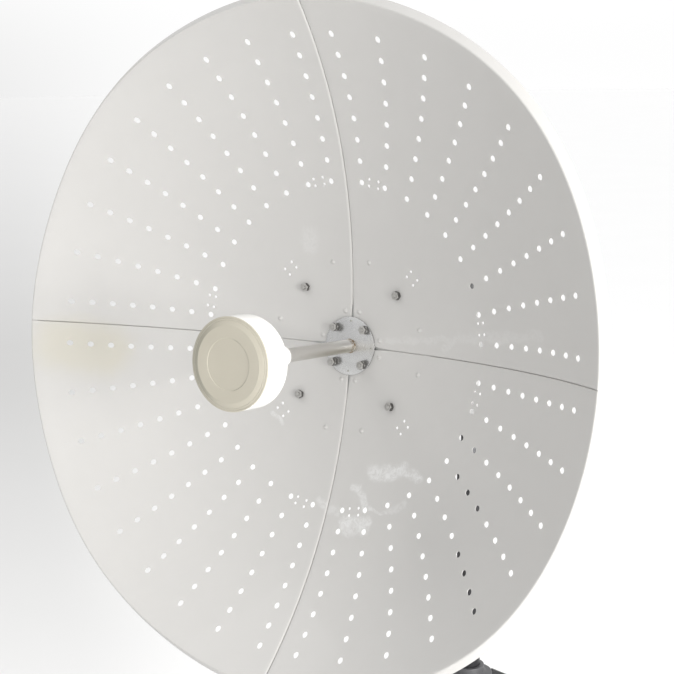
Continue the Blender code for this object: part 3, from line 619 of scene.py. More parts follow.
mast_tube("mast_lower", 0.003)
mast_tube("mast_upper", 0.0025)
bush_low, bush_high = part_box("mast_bush")
upper_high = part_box("mast_upper")[1]
seat = mast_high.z + GAP
bush_bore = upper_high.x + GAP
bush_spigot = mast_high.x - 0.0033
bush_corners = [
    (bush_bore, bush_low.z), (bush_spigot, bush_low.z), (bush_spigot, seat),
    (bush_high.x, seat), (bush_high.x, bush_high.z), (bush_bore, bush_high.z),
]
bush_profile = eased(bush_corners, [0.0004, 0.0008, 0.0002, 0.0006, 0.003, 0.0008])
piece("mast_bush_collar", turned(bush_profile, 72), ENAMEL, "grey_paint", "mast_bush")
cap_low, cap_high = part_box("mast_cap")
cap_base = upper_high.z + GAP
cap_plug = upper_high.x - 0.0028
cap_corners = [(0, cap_low.z), (cap_plug, cap_low.z), (cap_plug, cap_base),
               (cap_high.x, cap_base), (cap_high.x, cap_high.z), (0, cap_high.z)]
piece("mast_cap_cover", turned(solid_profile(cap_corners, [0, 0.001, 0.0003, 0.0006, 0.0022, 0]), 72),
      BLACK, "dark_steel", "mast_cap")


# Mast clamps
# Two pipe clamps of zinc plated steel. Each has a front jaw against the bracket's
# spine and a rear strap, drawn together by two bolts beside the tube.
def zinc_coat(tone, place):
    flake = tone.node("TexVoronoi", {"feature": "F1"}, {"Vector": place, "Scale": 120.0}, output="Color")
    cloud = tone.noise(place, 0.03, 4.0, 0.6)
    shade = tone.node("RGBToBW", {}, {"Color": flake}) * 0.35 + cloud * 0.65
    stain = tone.noise(place, 0.016, 5.0, 0.7).step(0.55, 0.85)
    metal = shade.between((0.38, 0.38, 0.375), (0.60, 0.60, 0.59))
    return {
        "Base Color": stain.between(metal, (0.30, 0.29, 0.27)),
        "Metallic": 0.85,
        "Roughness": 0.34 + shade * 0.20,
        "Normal": tone.bump(tone.noise(place, 0.0022, 3.0), 0.00010),
    }


ZINC = finish("zinc_coat", zinc_coat)
CLAMP_BORE = bush_bore
CLAMP_SPLIT = 0.002
CLAMP_WALL = 0.006
CLAMP_BOLT_X = 0.032
M8 = 0.004
NUT_FLATS = 0.014
NUT_HEIGHT = 0.0065
NUT_BORE = M8 * 0.85
WASHER = (0.0085, M8, 0.0016)


def arc(radius, start, end, steps, centre=(0.0, 0.0)):
    """Points along a circular arc, both ends counted."""
    t = np.linspace(start, end, steps + 1)
    return np.stack([centre[0] + radius * np.cos(t), centre[1] + radius * np.sin(t)], -1)


for label in ("upper", "lower"):
    jaw_low, jaw_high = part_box("clamp_jaw_" + label)
    wide = jaw_high.x
    tall = jaw_high.z - jaw_low.z
    middle_z = (jaw_high.z + jaw_low.z) / 2
    dip = math.asin(CLAMP_SPLIT / CLAMP_BORE)
    trough = arc(CLAMP_BORE, -dip, -math.pi + dip, 28)
    block = np.concatenate([
        arc(0.003, math.pi, 1.5 * math.pi, 4, (-wide + 0.003, jaw_low.y + 0.003)),
        arc(0.003, 1.5 * math.pi, 2 * math.pi, 4, (wide - 0.003, jaw_low.y + 0.003)),
        [(wide, -CLAMP_SPLIT)], trough, [(-wide, -CLAMP_SPLIT)],
    ])
    shape = moved(plate(block, [], tall, 0.001), (0, 0, jaw_low.z))
    piece("clamp_jaw_" + label + "_block", shape, ZINC, "zinc", "clamp_jaw_" + label)
    outside = CLAMP_BORE + CLAMP_WALL
    rise = CLAMP_SPLIT + CLAMP_WALL
    lift = math.asin(rise / outside)
    ears = np.concatenate([
        [(wide, CLAMP_SPLIT), (wide, rise)], arc(outside, lift, math.pi - lift, 28),
        [(-wide, rise), (-wide, CLAMP_SPLIT)], arc(CLAMP_BORE, math.pi - dip, dip, 28),
    ])
    shape = moved(plate(ears, [], tall, 0.001), (0, 0, jaw_low.z))
    piece("clamp_strap_" + label + "_band", shape, ZINC, "zinc", "clamp_strap_" + label)
    bolt = joined(
        washer(*WASHER, rise + 0.0002),
        moved(nut(NUT_FLATS, NUT_HEIGHT, NUT_BORE), (0, 0, rise + 0.0019)),
        thread(M8, -CLAMP_SPLIT - 0.012, rise + 0.0150),
    )
    bolts = [moved(bolt, (x, 0, middle_z), "X", -math.pi / 2) for x in (-CLAMP_BOLT_X, CLAMP_BOLT_X)]
    piece("clamp_bolts_" + label, joined(*bolts), BOLT_STEEL, "bolt_steel")


# Tilting bracket
# Cut plates, zinc plated: a spine with two cheeks on the mast, a base with two cheeks
# on the dish. They swing on one thick pivot bolt and are locked by two bolts in slots.
VERTEX = np.array([0.0, -0.427, 1.0])
TILT = math.radians(7.6)
CHEEK = 0.005
BACK_REAR = 0.0060
BASE_THICKNESS = 0.006
BASE_HALF = (0.060, 0.075)
MAST_CHEEK_X = 0.036
DISH_CHEEK_X = MAST_CHEEK_X + CHEEK + GAP
BOLT_HOLE = 0.0046
HUB_BOLT_REACH = 0.0457
WELD_STOP = 0.008
PIVOT = (-0.215, 0.920)
PIVOT_RADIUS = 0.008
PIVOT_HOLE = 0.0085
PIVOT_FLATS = 0.024
PIVOT_PITCH = 0.002
NOSE = 0.032
LOCK_ARC = 0.075
LOCK_LEAN = math.radians(52)
LOCK_SWEEP = math.radians(16)
# Columns: the dish's own X, its height up the dish and its axis, in the room
DISH_AXES = np.array([
    [1.0, 0.0, 0.0],
    [0.0, math.sin(TILT), -math.cos(TILT)],
    [0.0, math.cos(TILT), math.sin(TILT)],
])


def on_dish(shape):
    """A shape from the dish's own frame to the room."""
    points, faces = shape
    return points @ DISH_AXES.T + VERTEX, faces


def up_and_along(y, z):
    """A point of the middle plane as height up the dish and distance along its axis."""
    return (np.array([0.0, y, z]) - VERTEX) @ DISH_AXES[:, 1:]


def standing(shape, x):
    """A plate drawn flat, stood square to X with its near face at x."""
    points, faces = shape
    return np.column_stack([x + points[:, 2], points[:, 0], points[:, 1]]), faces


def on_diagonal(reach, x, y):
    """The point at a reach on the diagonal whose signs are x and y."""
    return x * reach * math.sqrt(0.5), y * reach * math.sqrt(0.5)


def round_pivot(angle):
    """The point of the locks' arc at an angle."""
    return pivot + LOCK_ARC * np.array([math.cos(angle), math.sin(angle)])


pivot = up_and_along(*PIVOT)
lock = round_pivot(LOCK_LEAN)
base_low_z = BACK_REAR - GAP - BASE_THICKNESS
half_w, half_h = BASE_HALF

hub_holes = [ring(BOLT_HOLE, 24, on_diagonal(HUB_BOLT_REACH, x, y)) for x in (-1, 1) for y in (-1, 1)]
base_corners = rectangle((-half_w, -half_h), (half_w, half_h))
base = plate(eased(base_corners, 0.006), hub_holes, BASE_THICKNESS, 0.0008)
base = moved(base, (0, 0, base_low_z))
base_beads = []
root = base_low_z - GAP
for x in (-DISH_CHEEK_X - CHEEK, -DISH_CHEEK_X, DISH_CHEEK_X, DISH_CHEEK_X + CHEEK):
    base_beads.append(bead(run_between((x, -half_h + WELD_STOP, root), (x, half_h - WELD_STOP, root)), 0.0026))
piece("bracket_base_plate", on_dish(joined(base, *base_beads)), ZINC, "zinc", "bracket_base")

slot_half = M8 + 0.0012
first = LOCK_LEAN - LOCK_SWEEP
last = LOCK_LEAN + LOCK_SWEEP
slot = np.concatenate([
    arc(LOCK_ARC + slot_half, first, last, 14, pivot),
    arc(slot_half, last, last + math.pi, 8, round_pivot(last))[1:-1],
    arc(LOCK_ARC - slot_half, last, first, 14, pivot),
    arc(slot_half, first + math.pi, first + 2 * math.pi, 8, round_pivot(first))[1:-1],
])
dish_cheek = np.concatenate([
    [(half_h - 0.004, root), (-half_h + 0.004, root)],
    arc(NOSE, math.radians(190), math.radians(310), 20, pivot),
    arc(LOCK_ARC + 0.020, math.radians(22), math.radians(46), 10, pivot),
])
dish_cheek_plate = plate(dish_cheek, [ring(PIVOT_HOLE, 32, pivot), slot], CHEEK, 0.0007)
for name, x in (("dish_cheek_left", -DISH_CHEEK_X - CHEEK), ("dish_cheek_right", DISH_CHEEK_X)):
    piece(name + "_plate", on_dish(standing(dish_cheek_plate, x)), ZINC, "zinc", name)

spine_low, spine_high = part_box("mast_spine")
spine_corners = rectangle((spine_low.x, spine_low.z), (spine_high.x, spine_high.z))
flat, faces = plate(eased(spine_corners, 0.006), [], spine_high.y - spine_low.y, 0.0008)
spine = np.column_stack([flat[:, 0], spine_low.y + flat[:, 2], flat[:, 1]]), faces
spine_root = spine_low.y - GAP
spine_beads = []
for x in (-MAST_CHEEK_X - CHEEK, -MAST_CHEEK_X, MAST_CHEEK_X, MAST_CHEEK_X + CHEEK):
    weld = run_between((x, spine_root, spine_low.z + WELD_STOP), (x, spine_root, spine_high.z - WELD_STOP))
    spine_beads.append(bead(weld, 0.0024))
piece("mast_spine_plate", joined(spine, *spine_beads), ZINC, "zinc", "mast_spine")

lock_room = (np.array([0.0, *lock]) @ DISH_AXES.T + VERTEX)[1:]
mast_cheek = np.concatenate([
    [(spine_root, spine_low.z + 0.004), (spine_root, spine_high.z - 0.004), (-0.120, 0.990)],
    lock_room + [(0.020, 0.014), (-0.010, 0.016), (-0.020, -0.004)],
    arc(NOSE, math.radians(165), math.radians(262), 16, PIVOT),
])
mast_cheek_holes = [ring(PIVOT_HOLE, 32, PIVOT), ring(BOLT_HOLE, 24, lock_room)]
mast_cheek_plate = plate(mast_cheek, mast_cheek_holes, CHEEK, 0.0007)
for name, x in (("mast_cheek_left", -MAST_CHEEK_X - CHEEK), ("mast_cheek_right", MAST_CHEEK_X)):
    piece(name + "_plate", standing(mast_cheek_plate, x), ZINC, "zinc", name)

head = MAST_CHEEK_X + 2 * CHEEK + 2 * GAP
shank = turned(solid_profile(rectangle((0, -head), (PIVOT_RADIUS, head)), 0.0003), 40)
pivot_bolt = joined(
    moved(nut(PIVOT_FLATS, 0.010), (0, 0, -head - 0.010)), shank,
    moved(nut(PIVOT_FLATS, 0.013, PIVOT_RADIUS * 0.8), (0, 0, head)),
    thread(PIVOT_RADIUS, head - 0.002, head + 0.022, PIVOT_PITCH, 32),
)
piece("pivot_bolt_steel", moved(pivot_bolt, (0, *PIVOT), "Y", math.pi / 2), BOLT_STEEL, "bolt_steel", "pivot_bolt")
lock_bolt = joined(
    moved(nut(NUT_FLATS, NUT_HEIGHT), (0, 0, MAST_CHEEK_X - GAP - NUT_HEIGHT)),
    turned(solid_profile(rectangle((0, MAST_CHEEK_X - 0.002), (M8, head)), 0.0002), 32),
    washer(0.012, M8, 0.0016, head), moved(nut(NUT_FLATS, NUT_HEIGHT, NUT_BORE), (0, 0, head + 0.0016)),
    thread(M8, head, head + 0.0130),
)
for name, side in (("lock_bolt_left", -1), ("lock_bolt_right", 1)):
    shape = moved(lock_bolt, (0, *lock_room), "Y", side * math.pi / 2)
    piece(name + "_steel", shape, BOLT_STEEL, "bolt_steel", name)


# Back plate
# A round zinc plated casting behind the petals, whose face follows their backs. With the hub
# plate it clamps their middles. A threaded socket for the feed's lead sits on it below the base.
FLOOR_HEIGHT = 0.0123
SQUARE_TERM = 0.52503
FOURTH_TERM = 0.18932
SEAM_SQUARE_TERM = -0.03742
SEAM_FOURTH_TERM = 0.21916
CAD_SHEET = 0.002
BACK_RADIUS = 0.165
BACK_THICKNESS = 0.004
BACK_BOSS = (0.098, 0.106)
PETAL_BOLT_REACH = 0.1428
SOCKET_DROP = -0.130
SOCKET_FLATS = 0.026
SOCKET_STEPS = (0.003, 0.008, 0.0195, 0.022)


def height(flat):
    """The dish's front face: z = h + a s + b s^2 + (c / s + d) (x^2 - y^2)^2, with s = x^2 + y^2."""
    x, y = np.moveaxis(np.asarray(flat, float), -1, 0)
    square = np.maximum(x ** 2 + y ** 2, 1e-12)
    lobe = (x ** 2 - y ** 2) ** 2
    rise = FLOOR_HEIGHT + SQUARE_TERM * square + FOURTH_TERM * square ** 2
    return rise + (SEAM_SQUARE_TERM / square + SEAM_FOURTH_TERM) * lobe


def backward(flat):
    """Unit vectors square to the sheet, out of its back: (dz/dx, dz/dy, -1) made one long."""
    x, y = np.moveaxis(np.asarray(flat, float), -1, 0)
    square = np.maximum(x ** 2 + y ** 2, 1e-12)
    lobe = x ** 2 - y ** 2
    even = 2 * SQUARE_TERM + 4 * FOURTH_TERM * square - 2 * SEAM_SQUARE_TERM * (lobe / square) ** 2
    odd = 4 * lobe * (SEAM_SQUARE_TERM / square + SEAM_FOURTH_TERM)
    found = np.stack([x * (even + odd), y * (even - odd), -np.ones_like(x)], -1)
    return found / np.linalg.norm(found, axis=-1, keepdims=True)


def behind(flat, depth):
    """Points at a depth behind the front face, square to it."""
    return np.column_stack([flat, height(flat)]) + backward(flat) * depth


def square_to_sheet(shape, spot, depth=0.0, turn=0.0):
    """A shape about Z, stood square to the sheet over a plane point, with its z = 0 at a depth."""
    points, faces = moved(shape, (0, 0, 0), "Z", turn)
    spot = np.asarray(spot, float)[None]
    up = -backward(spot)[0]
    across = np.cross((0.0, 1.0, 0.0), up)
    across /= np.linalg.norm(across)
    return points @ np.stack([across, np.cross(up, across), up]) + behind(spot, depth), faces


def walls_round(loops, start, count):
    """Faces between the front and rear points of loops. The loops' points count on from start."""
    walls = []
    for loop in loops:
        k = np.arange(len(loop))
        ahead = start + (k + 1) % len(loop)
        walls.append(np.stack([start + k, ahead, ahead + count, start + k + count], -1))
        start += len(loop)
    return np.concatenate(walls)


petal_spots = [on_diagonal(PETAL_BOLT_REACH, x, y) for x, y in ((1, 1), (-1, 1), (-1, -1), (1, -1))]
back_loops = [ring(BACK_RADIUS, 120), *[ring(BOLT_HOLE, 24, loop.mean(0))[::-1] for loop in hub_holes]]
back_loops += [ring(BOLT_HOLE, 24, spot)[::-1] for spot in petal_spots]
# Rings of more points, so that the triangles follow the curved face
back_extra = np.concatenate([ring(r, max(8, int(r * 700))) for r in (1e-6, 0.012, 0.022, 0.032, 0.058, 0.072, 0.086)]
                            + [ring(r, 90) for r in (*BACK_BOSS, 0.116, 0.126, 0.156)])
back_triangles = fill(back_loops, back_extra)
back_flat = np.concatenate([*back_loops, back_extra])
back_count = len(back_flat)
back_front = behind(back_flat, CAD_SHEET + GAP)
on_boss = (np.hypot(*back_flat.T) < sum(BACK_BOSS) / 2)[:, None]
back_flat_rear = np.column_stack([back_front[:, :2], np.full(back_count, BACK_REAR)])
back_rear = np.where(on_boss, back_flat_rear, behind(back_flat, CAD_SHEET + GAP + BACK_THICKNESS))
back_shape = (np.concatenate([back_front, back_rear]),
              [back_triangles, back_triangles + back_count, walls_round(back_loops, 0, back_count)])
back_casting = piece("back_plate_casting", on_dish(back_shape), ZINC, "zinc", "back_plate")
back_edges = back_casting.modifiers.new("eased_edges", "BEVEL")
back_edges.width = 0.0007
back_edges.segments = 2
back_edges.limit_method = "ANGLE"
back_edges.angle_limit = math.radians(50)

flange, body, neck, end = SOCKET_STEPS
socket = joined(
    moved(nut(SOCKET_FLATS, flange), (0, 0, -flange)),
    turned(solid_profile(rectangle((0, -body), (0.009, -flange)), 0.0006)),
    thread(0.0078, -neck, -0.007, 0.0008, 40),
    turned(solid_profile(rectangle((0, -end), (0.0062, -0.019)), 0.0005)),
)
socket = square_to_sheet(socket, (0, SOCKET_DROP), CAD_SHEET + BACK_THICKNESS + 2 * GAP)
piece("feed_socket_brass", on_dish(socket), BOLT_STEEL, "bolt_steel", "feed_socket")


# Petals
# Four pressed quarters of light grey painted sheet with rows of punched holes. Their
# seams are folded back and bolted together, and the rim is bent back as a lip.
RIM = 0.600
RIM_SWING = 0.00495
RIM_RIPPLE = 0.00102
SHEET = 0.0015
BEND = 0.0030
SEAM_BEND = 0.0022
SEAM = 0.0002
SEAM_WIDE = 0.0024
FLARE = (0.058, 0.088)
LIP = 0.020
FLANGE = 0.022
FLANGE_RUN = (0.168, 0.180, 0.578, 0.590)
THROAT = 0.026
SIDE_ROWS = 4
HOLES_PER_ROW = 8
HOLE = 0.0051
FIRST_HOLE = 0.30274
HOLE_PITCH = 0.03789
PITCH_LOSS = 0.00042
ROW_BOW = (0.00369, 0.00088)
FAN_STEP = (math.radians(9.65319), math.radians(0.07504))
SMALL_HOLE = 0.0026
# Middle, and the half steps outwards and across
DIAMOND = (0.1336, 0.1336, 0.0068, 0.0100)
CLUSTERS = [(0.0595, 0.2955, 0.0060, 0.0100), (0.2955, 0.0595, 0.0060, 0.0100)]
PIP_RADIUS = 0.0054
PIP_HEIGHT = 0.0034
PIPS = [(0.0370, 0.1555, 1.0), (0.1520, 0.0430, 1.0), (0.0150, 0.0635, 0.9), (0.0635, 0.0150, 0.9)]
LATTICE = 0.0105
TIP_EASE = 0.0006
THROAT_BEND = 0.0004
SEAM_BOLTS = (0.215, 0.310, 0.405, 0.500)
SEAM_BOLT_DEPTH = 0.013
SEAM_BOLT_RADIUS = 0.003
SEAM_NUT_FLATS = 0.010


def rim_radius(t):
    """Radius of the rim in plan: r - a cos 4t + b cos 8t."""
    return RIM - RIM_SWING * np.cos(4 * t) + RIM_RIPPLE * np.cos(8 * t)


def pip_height(flat):
    """Pressed pips: height (1 - d^2)^2 at d radii from each one's middle."""
    total = np.zeros(len(flat))
    for x, y, share in PIPS:
        d = np.hypot(flat[:, 0] - x, flat[:, 1] - y) / PIP_RADIUS
        total += share * PIP_HEIGHT * np.where(d < 1, (1 - d ** 2) ** 2, 0)
    return total


# The border runs out along the seam beside +X, round the rim, in along the seam beside
# +Y and round the throat. Each point knows its inward direction and how far its fold goes.
seam_r = np.unique(np.concatenate([np.linspace(FLARE[1], rim_radius(0) - 0.0015, 66), FLANGE_RUN]))
seam_x = np.concatenate([[FLARE[0], 0.068, 0.078], seam_r])
seam_y = np.interp(seam_x, FLARE, (SEAM_WIDE, SEAM))
seam_fold = np.interp(seam_x, FLANGE_RUN, (SHEET, FLANGE, FLANGE, SHEET))
corner = math.asin(SEAM / rim_radius(0))
rim_t = np.linspace(corner, math.pi / 2 - corner, 110)
throat_a = math.asin(SEAM_WIDE / THROAT)
throat_t = np.linspace(math.pi / 2 - throat_a, throat_a, 12)
out_dir = np.stack([np.cos(rim_t), np.sin(rim_t)], -1)
border = np.concatenate([
    np.stack([seam_x, seam_y], -1), rim_radius(rim_t)[:, None] * out_dir, np.stack([seam_y, seam_x], -1)[::-1],
    THROAT * np.stack([np.cos(throat_t), np.sin(throat_t)], -1),
])
fold = np.concatenate([seam_fold, np.full(len(rim_t), LIP), seam_fold[::-1], np.full(len(throat_t), SHEET)])
inside_plan = np.concatenate([
    np.tile([0.0, 1.0], (len(seam_x), 1)), -out_dir, np.tile([1.0, 0.0], (len(seam_x), 1)),
    np.stack([np.cos(throat_t), np.sin(throat_t)], -1),
])
first_rim = len(seam_x)
last_rim = first_rim + len(rim_t) - 1
inside_plan[first_rim] += (0.0, 1.0)
inside_plan[last_rim] += (1.0, 0.0)
bend = np.full(len(border), SEAM_BEND)
bend[first_rim:last_rim + 1] = BEND
bend[last_rim + 1 + len(seam_x):] = THROAT_BEND
away = backward(border)
# The inward direction lies in the sheet: its plan, less its share along the backward normal
in_sheet = np.column_stack([inside_plan, np.zeros(len(border))])
in_sheet -= away * (in_sheet * away).sum(1)[:, None]
in_sheet /= np.minimum(np.linalg.norm(in_sheet, axis=1), 1.0)[:, None]
edge = np.column_stack([border, height(border)])

# The fold's profile, as inward and backward distances: an arc, down the outer side,
# round the tip, up the inner side and an arc onto the sheet's back.
quarter = np.linspace(0, np.pi / 2, 5)[None, :]
b = np.minimum(bend, fold)[:, None]
inner_b = np.maximum(b, SHEET)
depth = np.maximum(fold, SHEET)[:, None]
tip_in = np.broadcast_to([0.0, TIP_EASE, SHEET - TIP_EASE, SHEET], (len(border), 4))
tip_down = depth - np.where(depth > SHEET, [TIP_EASE, 0.0, 0.0, TIP_EASE], 0.0)
profile_in = np.concatenate([b * (1 - np.sin(quarter)), tip_in,
                             inner_b - (inner_b - SHEET) * np.cos(quarter)], axis=1)
profile_down = np.concatenate([b * (1 - np.cos(quarter)), np.maximum(tip_down, b),
                               inner_b - (inner_b - SHEET) * np.sin(quarter)], axis=1)
fold_points = edge[:, None] + in_sheet[:, None] * profile_in[..., None] + away[:, None] * profile_down[..., None]
steps_across = profile_in.shape[1]

# Row n counts from the middle line and step j outwards. Hole (n, j) lies at the radius
# r0 + p j - q j (j - 1) - (n / 4)^2 (a + b j), turned n (c + d j) from the middle line
n, j = np.meshgrid(np.arange(-SIDE_ROWS, SIDE_ROWS + 1), np.arange(HOLES_PER_ROW), indexing="ij")
reach = FIRST_HOLE + HOLE_PITCH * j - PITCH_LOSS * j * (j - 1) - (n / SIDE_ROWS) ** 2 * (ROW_BOW[0] + ROW_BOW[1] * j)
angle = math.pi / 4 + n * (FAN_STEP[0] + FAN_STEP[1] * j)
punched = [(r * math.cos(a), r * math.sin(a), HOLE, 22) for a, r in zip(angle.ravel(), reach.ravel())]
for x, y, out, across in (DIAMOND, *CLUSTERS):
    ux, uy = x / math.hypot(x, y), y / math.hypot(x, y)
    punched += [(x + a * out * ux - b * across * uy, y + a * out * uy + b * across * ux, SMALL_HOLE, 14)
                for a in (-1, 1) for b in (-1, 1)]
hole_loops = [ring(r, sides, (x, y))[::-1] for x, y, r, sides in punched]
front_border = fold_points[:, 0, :2]

# Points of the sheet: rings round every hole and pip, and a six-sided lattice elsewhere
rings = [ring(1.5 * r, sides, (x, y)) for x, y, r, sides in punched]
rings += [ring(PIP_RADIUS * k / 5 + 1e-5, 12, (x, y)) for x, y, _ in PIPS for k in range(1, 7)]
i, j = np.meshgrid(np.arange(int(RIM / LATTICE) + 2), np.arange(int(RIM / LATTICE * 1.2) + 2), indexing="ij")
lattice = np.stack([(i + 0.5 * (j % 2)) * LATTICE, j * LATTICE * math.sqrt(0.75)], -1).reshape(-1, 2)
far = np.hypot(*lattice.T)
keep = far < rim_radius(np.arctan2(lattice[:, 1], lattice[:, 0])) - 0.009
keep &= (far > THROAT + 0.008) & (lattice.min(1) > 0.0085)
for x, y, r, _ in punched:
    keep &= np.hypot(lattice[:, 0] - x, lattice[:, 1] - y) > 1.5 * r + 0.003
for x, y, _ in PIPS:
    keep &= np.hypot(lattice[:, 0] - x, lattice[:, 1] - y) > PIP_RADIUS * 1.6
extra = np.concatenate([*rings, lattice[keep]])
triangles = fill([front_border, *hole_loops], extra)
flat = np.concatenate([front_border, *hole_loops, extra])
count = len(flat)
rise = pip_height(flat)
normal = backward(flat)
front = np.column_stack([flat, height(flat)]) - normal * rise[:, None]
rear_face = front + normal * SHEET
front[:len(border)] = fold_points[:, 0]
rear_face[:len(border)] = fold_points[:, -1]
hole_walls = walls_round(hole_loops, len(border), count)
sheet_shape = (np.concatenate([front, rear_face]), [triangles, triangles + count, hole_walls])
fold_shape = (fold_points.reshape(-1, 3), [skin(len(border), steps_across, True, False)])
petal_shape = joined(sheet_shape, fold_shape)


def dish_paint(tone, place):
    """Light warm grey satin paint with faint clouds and pale marks of rubbing.

    A pale band beside the upright seams is a painted highlight on their lit bends, a warm
    stain lies under the left seam near the rim, and the seams are painted darker as shade.
    """
    plan = tone.node("UVMap", {"uv_map": "plan"})
    cloud = tone.noise(place, 0.30, 4.0, 0.55)
    fine = tone.noise(place, 0.035, 4.0, 0.6)
    smear = tone.noise(plan, 0.010, 5.0, 0.75, 1.2)
    x, y = plan.part("X"), plan.part("Y")
    seam_far = tone.math("MINIMUM", x.size(), y.size())
    # Painted highlight: a pale band just left of each upright seam, on its lit bend.
    seam_highlight = x.step(-0.0048, -0.0036) * x.step(-0.0004, -0.0012)
    x = x + tone.noise(plan, 0.030, 3.0) * 0.026 - 0.013
    y = y + tone.noise(plan, 0.027, 3.0) * 0.026 - 0.013

    def rub(ax, ay, bx, by, width):
        """1 on a stroke from a to b and 0 past its width: distance to the stroke's own line."""
        length2 = (bx - ax) ** 2 + (by - ay) ** 2
        along = (x - ax) * ((bx - ax) / length2) + (y - ay) * ((by - ay) / length2)
        along = along.between_0_and_1()
        dx = x - ax - along * (bx - ax)
        dy = y - ay - along * (by - ay)
        return (dx * dx + dy * dy).root().step(width, width * 0.3)

    strokes = [
        (0.078, -0.222, 0.112, -0.221, 0.016, 0.75), (0.112, -0.218, 0.150, -0.208, 0.018, 0.85),
        (0.150, -0.208, 0.188, -0.214, 0.014, 0.8), (0.044, -0.253, 0.062, -0.256, 0.010, 0.65),
        (0.062, -0.256, 0.080, -0.280, 0.009, 0.6), (0.088, -0.285, 0.128, -0.284, 0.005, 0.6),
        (0.044, -0.316, 0.092, -0.312, 0.016, 0.8), (0.052, -0.328, 0.090, -0.322, 0.014, 0.55),
        (0.138, -0.280, 0.170, -0.266, 0.010, 0.35), (-0.022, -0.287, -0.008, -0.293, 0.010, 0.45),
        (0.006, -0.300, 0.024, -0.302, 0.010, 0.35), (0.080, 0.018, 0.235, 0.034, 0.008, 0.22),
        (0.235, 0.038, 0.440, 0.062, 0.012, 0.22), (0.212, 0.014, 0.246, 0.046, 0.007, 0.25),
        (-0.088, 0.196, -0.092, 0.180, 0.026, 0.25), (-0.152, -0.142, -0.134, -0.160, 0.005, 0.6),
    ]
    marks = None
    for ax, ay, bx, by, width, strength in strokes:
        one = rub(ax, ay, bx, by, width) * strength
        marks = one if marks is None else marks.math("MAXIMUM", marks, one)
    marks = marks * smear.step(0.30, 0.62)
    # Painted shade: the paint is darker along the seams, between the petals.
    seam_shade = seam_far.step(0.0012, 0.0004)
    paint = (cloud * 0.6 + fine * 0.4).between((0.475, 0.467, 0.453), (0.515, 0.507, 0.494))
    paint = (seam_highlight * 0.6).between(paint, (0.61, 0.60, 0.58))
    warm = rub(-0.545, -0.045, -0.490, -0.050, 0.075) * (0.2 + cloud * 0.3)
    paint = warm.between(paint, (0.50, 0.465, 0.34))
    paint = marks.between(paint, (0.66, 0.66, 0.655))
    return {
        "Base Color": (seam_shade * 0.2).between(paint, (0.30, 0.28, 0.25)),
        "Roughness": 0.40 + fine * 0.14 + marks * 0.2,
        "Coat Weight": 0.10,
        "Normal": tone.bump(tone.noise(place, 0.003, 2.0) + cloud * 4.0, 0.00006),
    }


DISH_PAINT = finish("dish_paint", dish_paint)
PETALS = ["petal_upper_right", "petal_upper_left", "petal_lower_left", "petal_lower_right"]
for k, name in enumerate(PETALS):
    own = moved(petal_shape, (0, 0, 0), "Z", k * math.pi / 2)
    piece(name + "_sheet", on_dish(own), DISH_PAINT, "dish_paint", name, sharp=38.0, plan=own[0][:, :2])

seam_bolts = []
across = SEAM + SHEET
seam_bolt = joined(
    moved(nut(SEAM_NUT_FLATS, 0.004), (0, 0, across + 0.0002)),
    moved(nut(SEAM_NUT_FLATS, 0.005, 0.0025), (0, 0, -across - 0.0052)),
    thread(SEAM_BOLT_RADIUS, -across - 0.009, across + 0.001, 0.001),
)
for k in range(4):
    for reach in SEAM_BOLTS:
        middle = behind(np.array([[reach, 0.0]]), SEAM_BOLT_DEPTH)[0]
        placed = moved(seam_bolt, middle, "X", -math.pi / 2)
        seam_bolts.append(moved(placed, (0, 0, 0), "Z", k * math.pi / 2))
piece("seam_bolts", on_dish(joined(*seam_bolts)), BOLT_STEEL, "bolt_steel")


# Hub plate and bolts
# A turned disc of bare bright steel in front of the petals, with two nuts on each of
# four studs, four small rivets and, farther out, one dark bolt through each petal.
HUB_RADIUS = 0.054
HUB_BACK = 0.01413
HUB_THICKNESS = 0.003
HUB_NUT_HEIGHT = 0.0055
HUB_STUD_END = 0.001
NUT_GROOVE = 0.0007
HEAD_HEIGHT = 0.0085
STUD_END = 0.003
RIVET_REACH = 0.0465
RIVET_RADIUS = 0.0021
RIVET_RISE = RIVET_RADIUS * 0.6


def hub_metal(tone, place):
    plan = tone.node("UVMap", {"uv_map": "plan"})
    reach = tone.node("VectorMath", {"operation": "LENGTH"}, {0: plan}, output="Value")
    rings = tone.noise(tone.node("CombineXYZ", {}, {"X": reach}), 0.0009, 3.0, 0.7)
    cloud = tone.noise(place, 0.020, 4.0, 0.6)
    # The rim is painted darker: a dark cut edge, with painted shade of the gap beneath it.
    rim = reach.step(0.0528, 0.0538)
    metal = cloud.between((0.66, 0.66, 0.66), (0.74, 0.74, 0.735))
    return {
        "Base Color": (rim * 0.5).between(metal, (0.20, 0.20, 0.19)),
        "Metallic": 0.9,
        "Roughness": 0.20 + cloud * 0.08 + rings * 0.04,
        "Normal": tone.bump(rings, 0.00002),
    }


def blackened_steel(tone, place):
    """Dark oiled steel whose end faces, square to the dish's axis, are lighter: metal scuffed bright and a painted
    highlight.
    """
    facing = tone.normal().along(tuple(DISH_AXES[:, 2]))
    cloud = tone.noise(place, 0.003, 3.0, 0.6)
    # Painted highlight and wear: faces turned along the dish's axis are lighter, the sides stay dark.
    end_wear_and_highlight = facing.step(0.55, 0.9) * (0.5 + cloud * 0.7)
    return {
        "Base Color": end_wear_and_highlight.between((0.13, 0.127, 0.12), (0.50, 0.49, 0.47)),
        "Metallic": 0.75,
        "Roughness": 0.30 + cloud * 0.2,
        "Normal": tone.bump(tone.noise(place, 0.0012), 0.00006),
    }


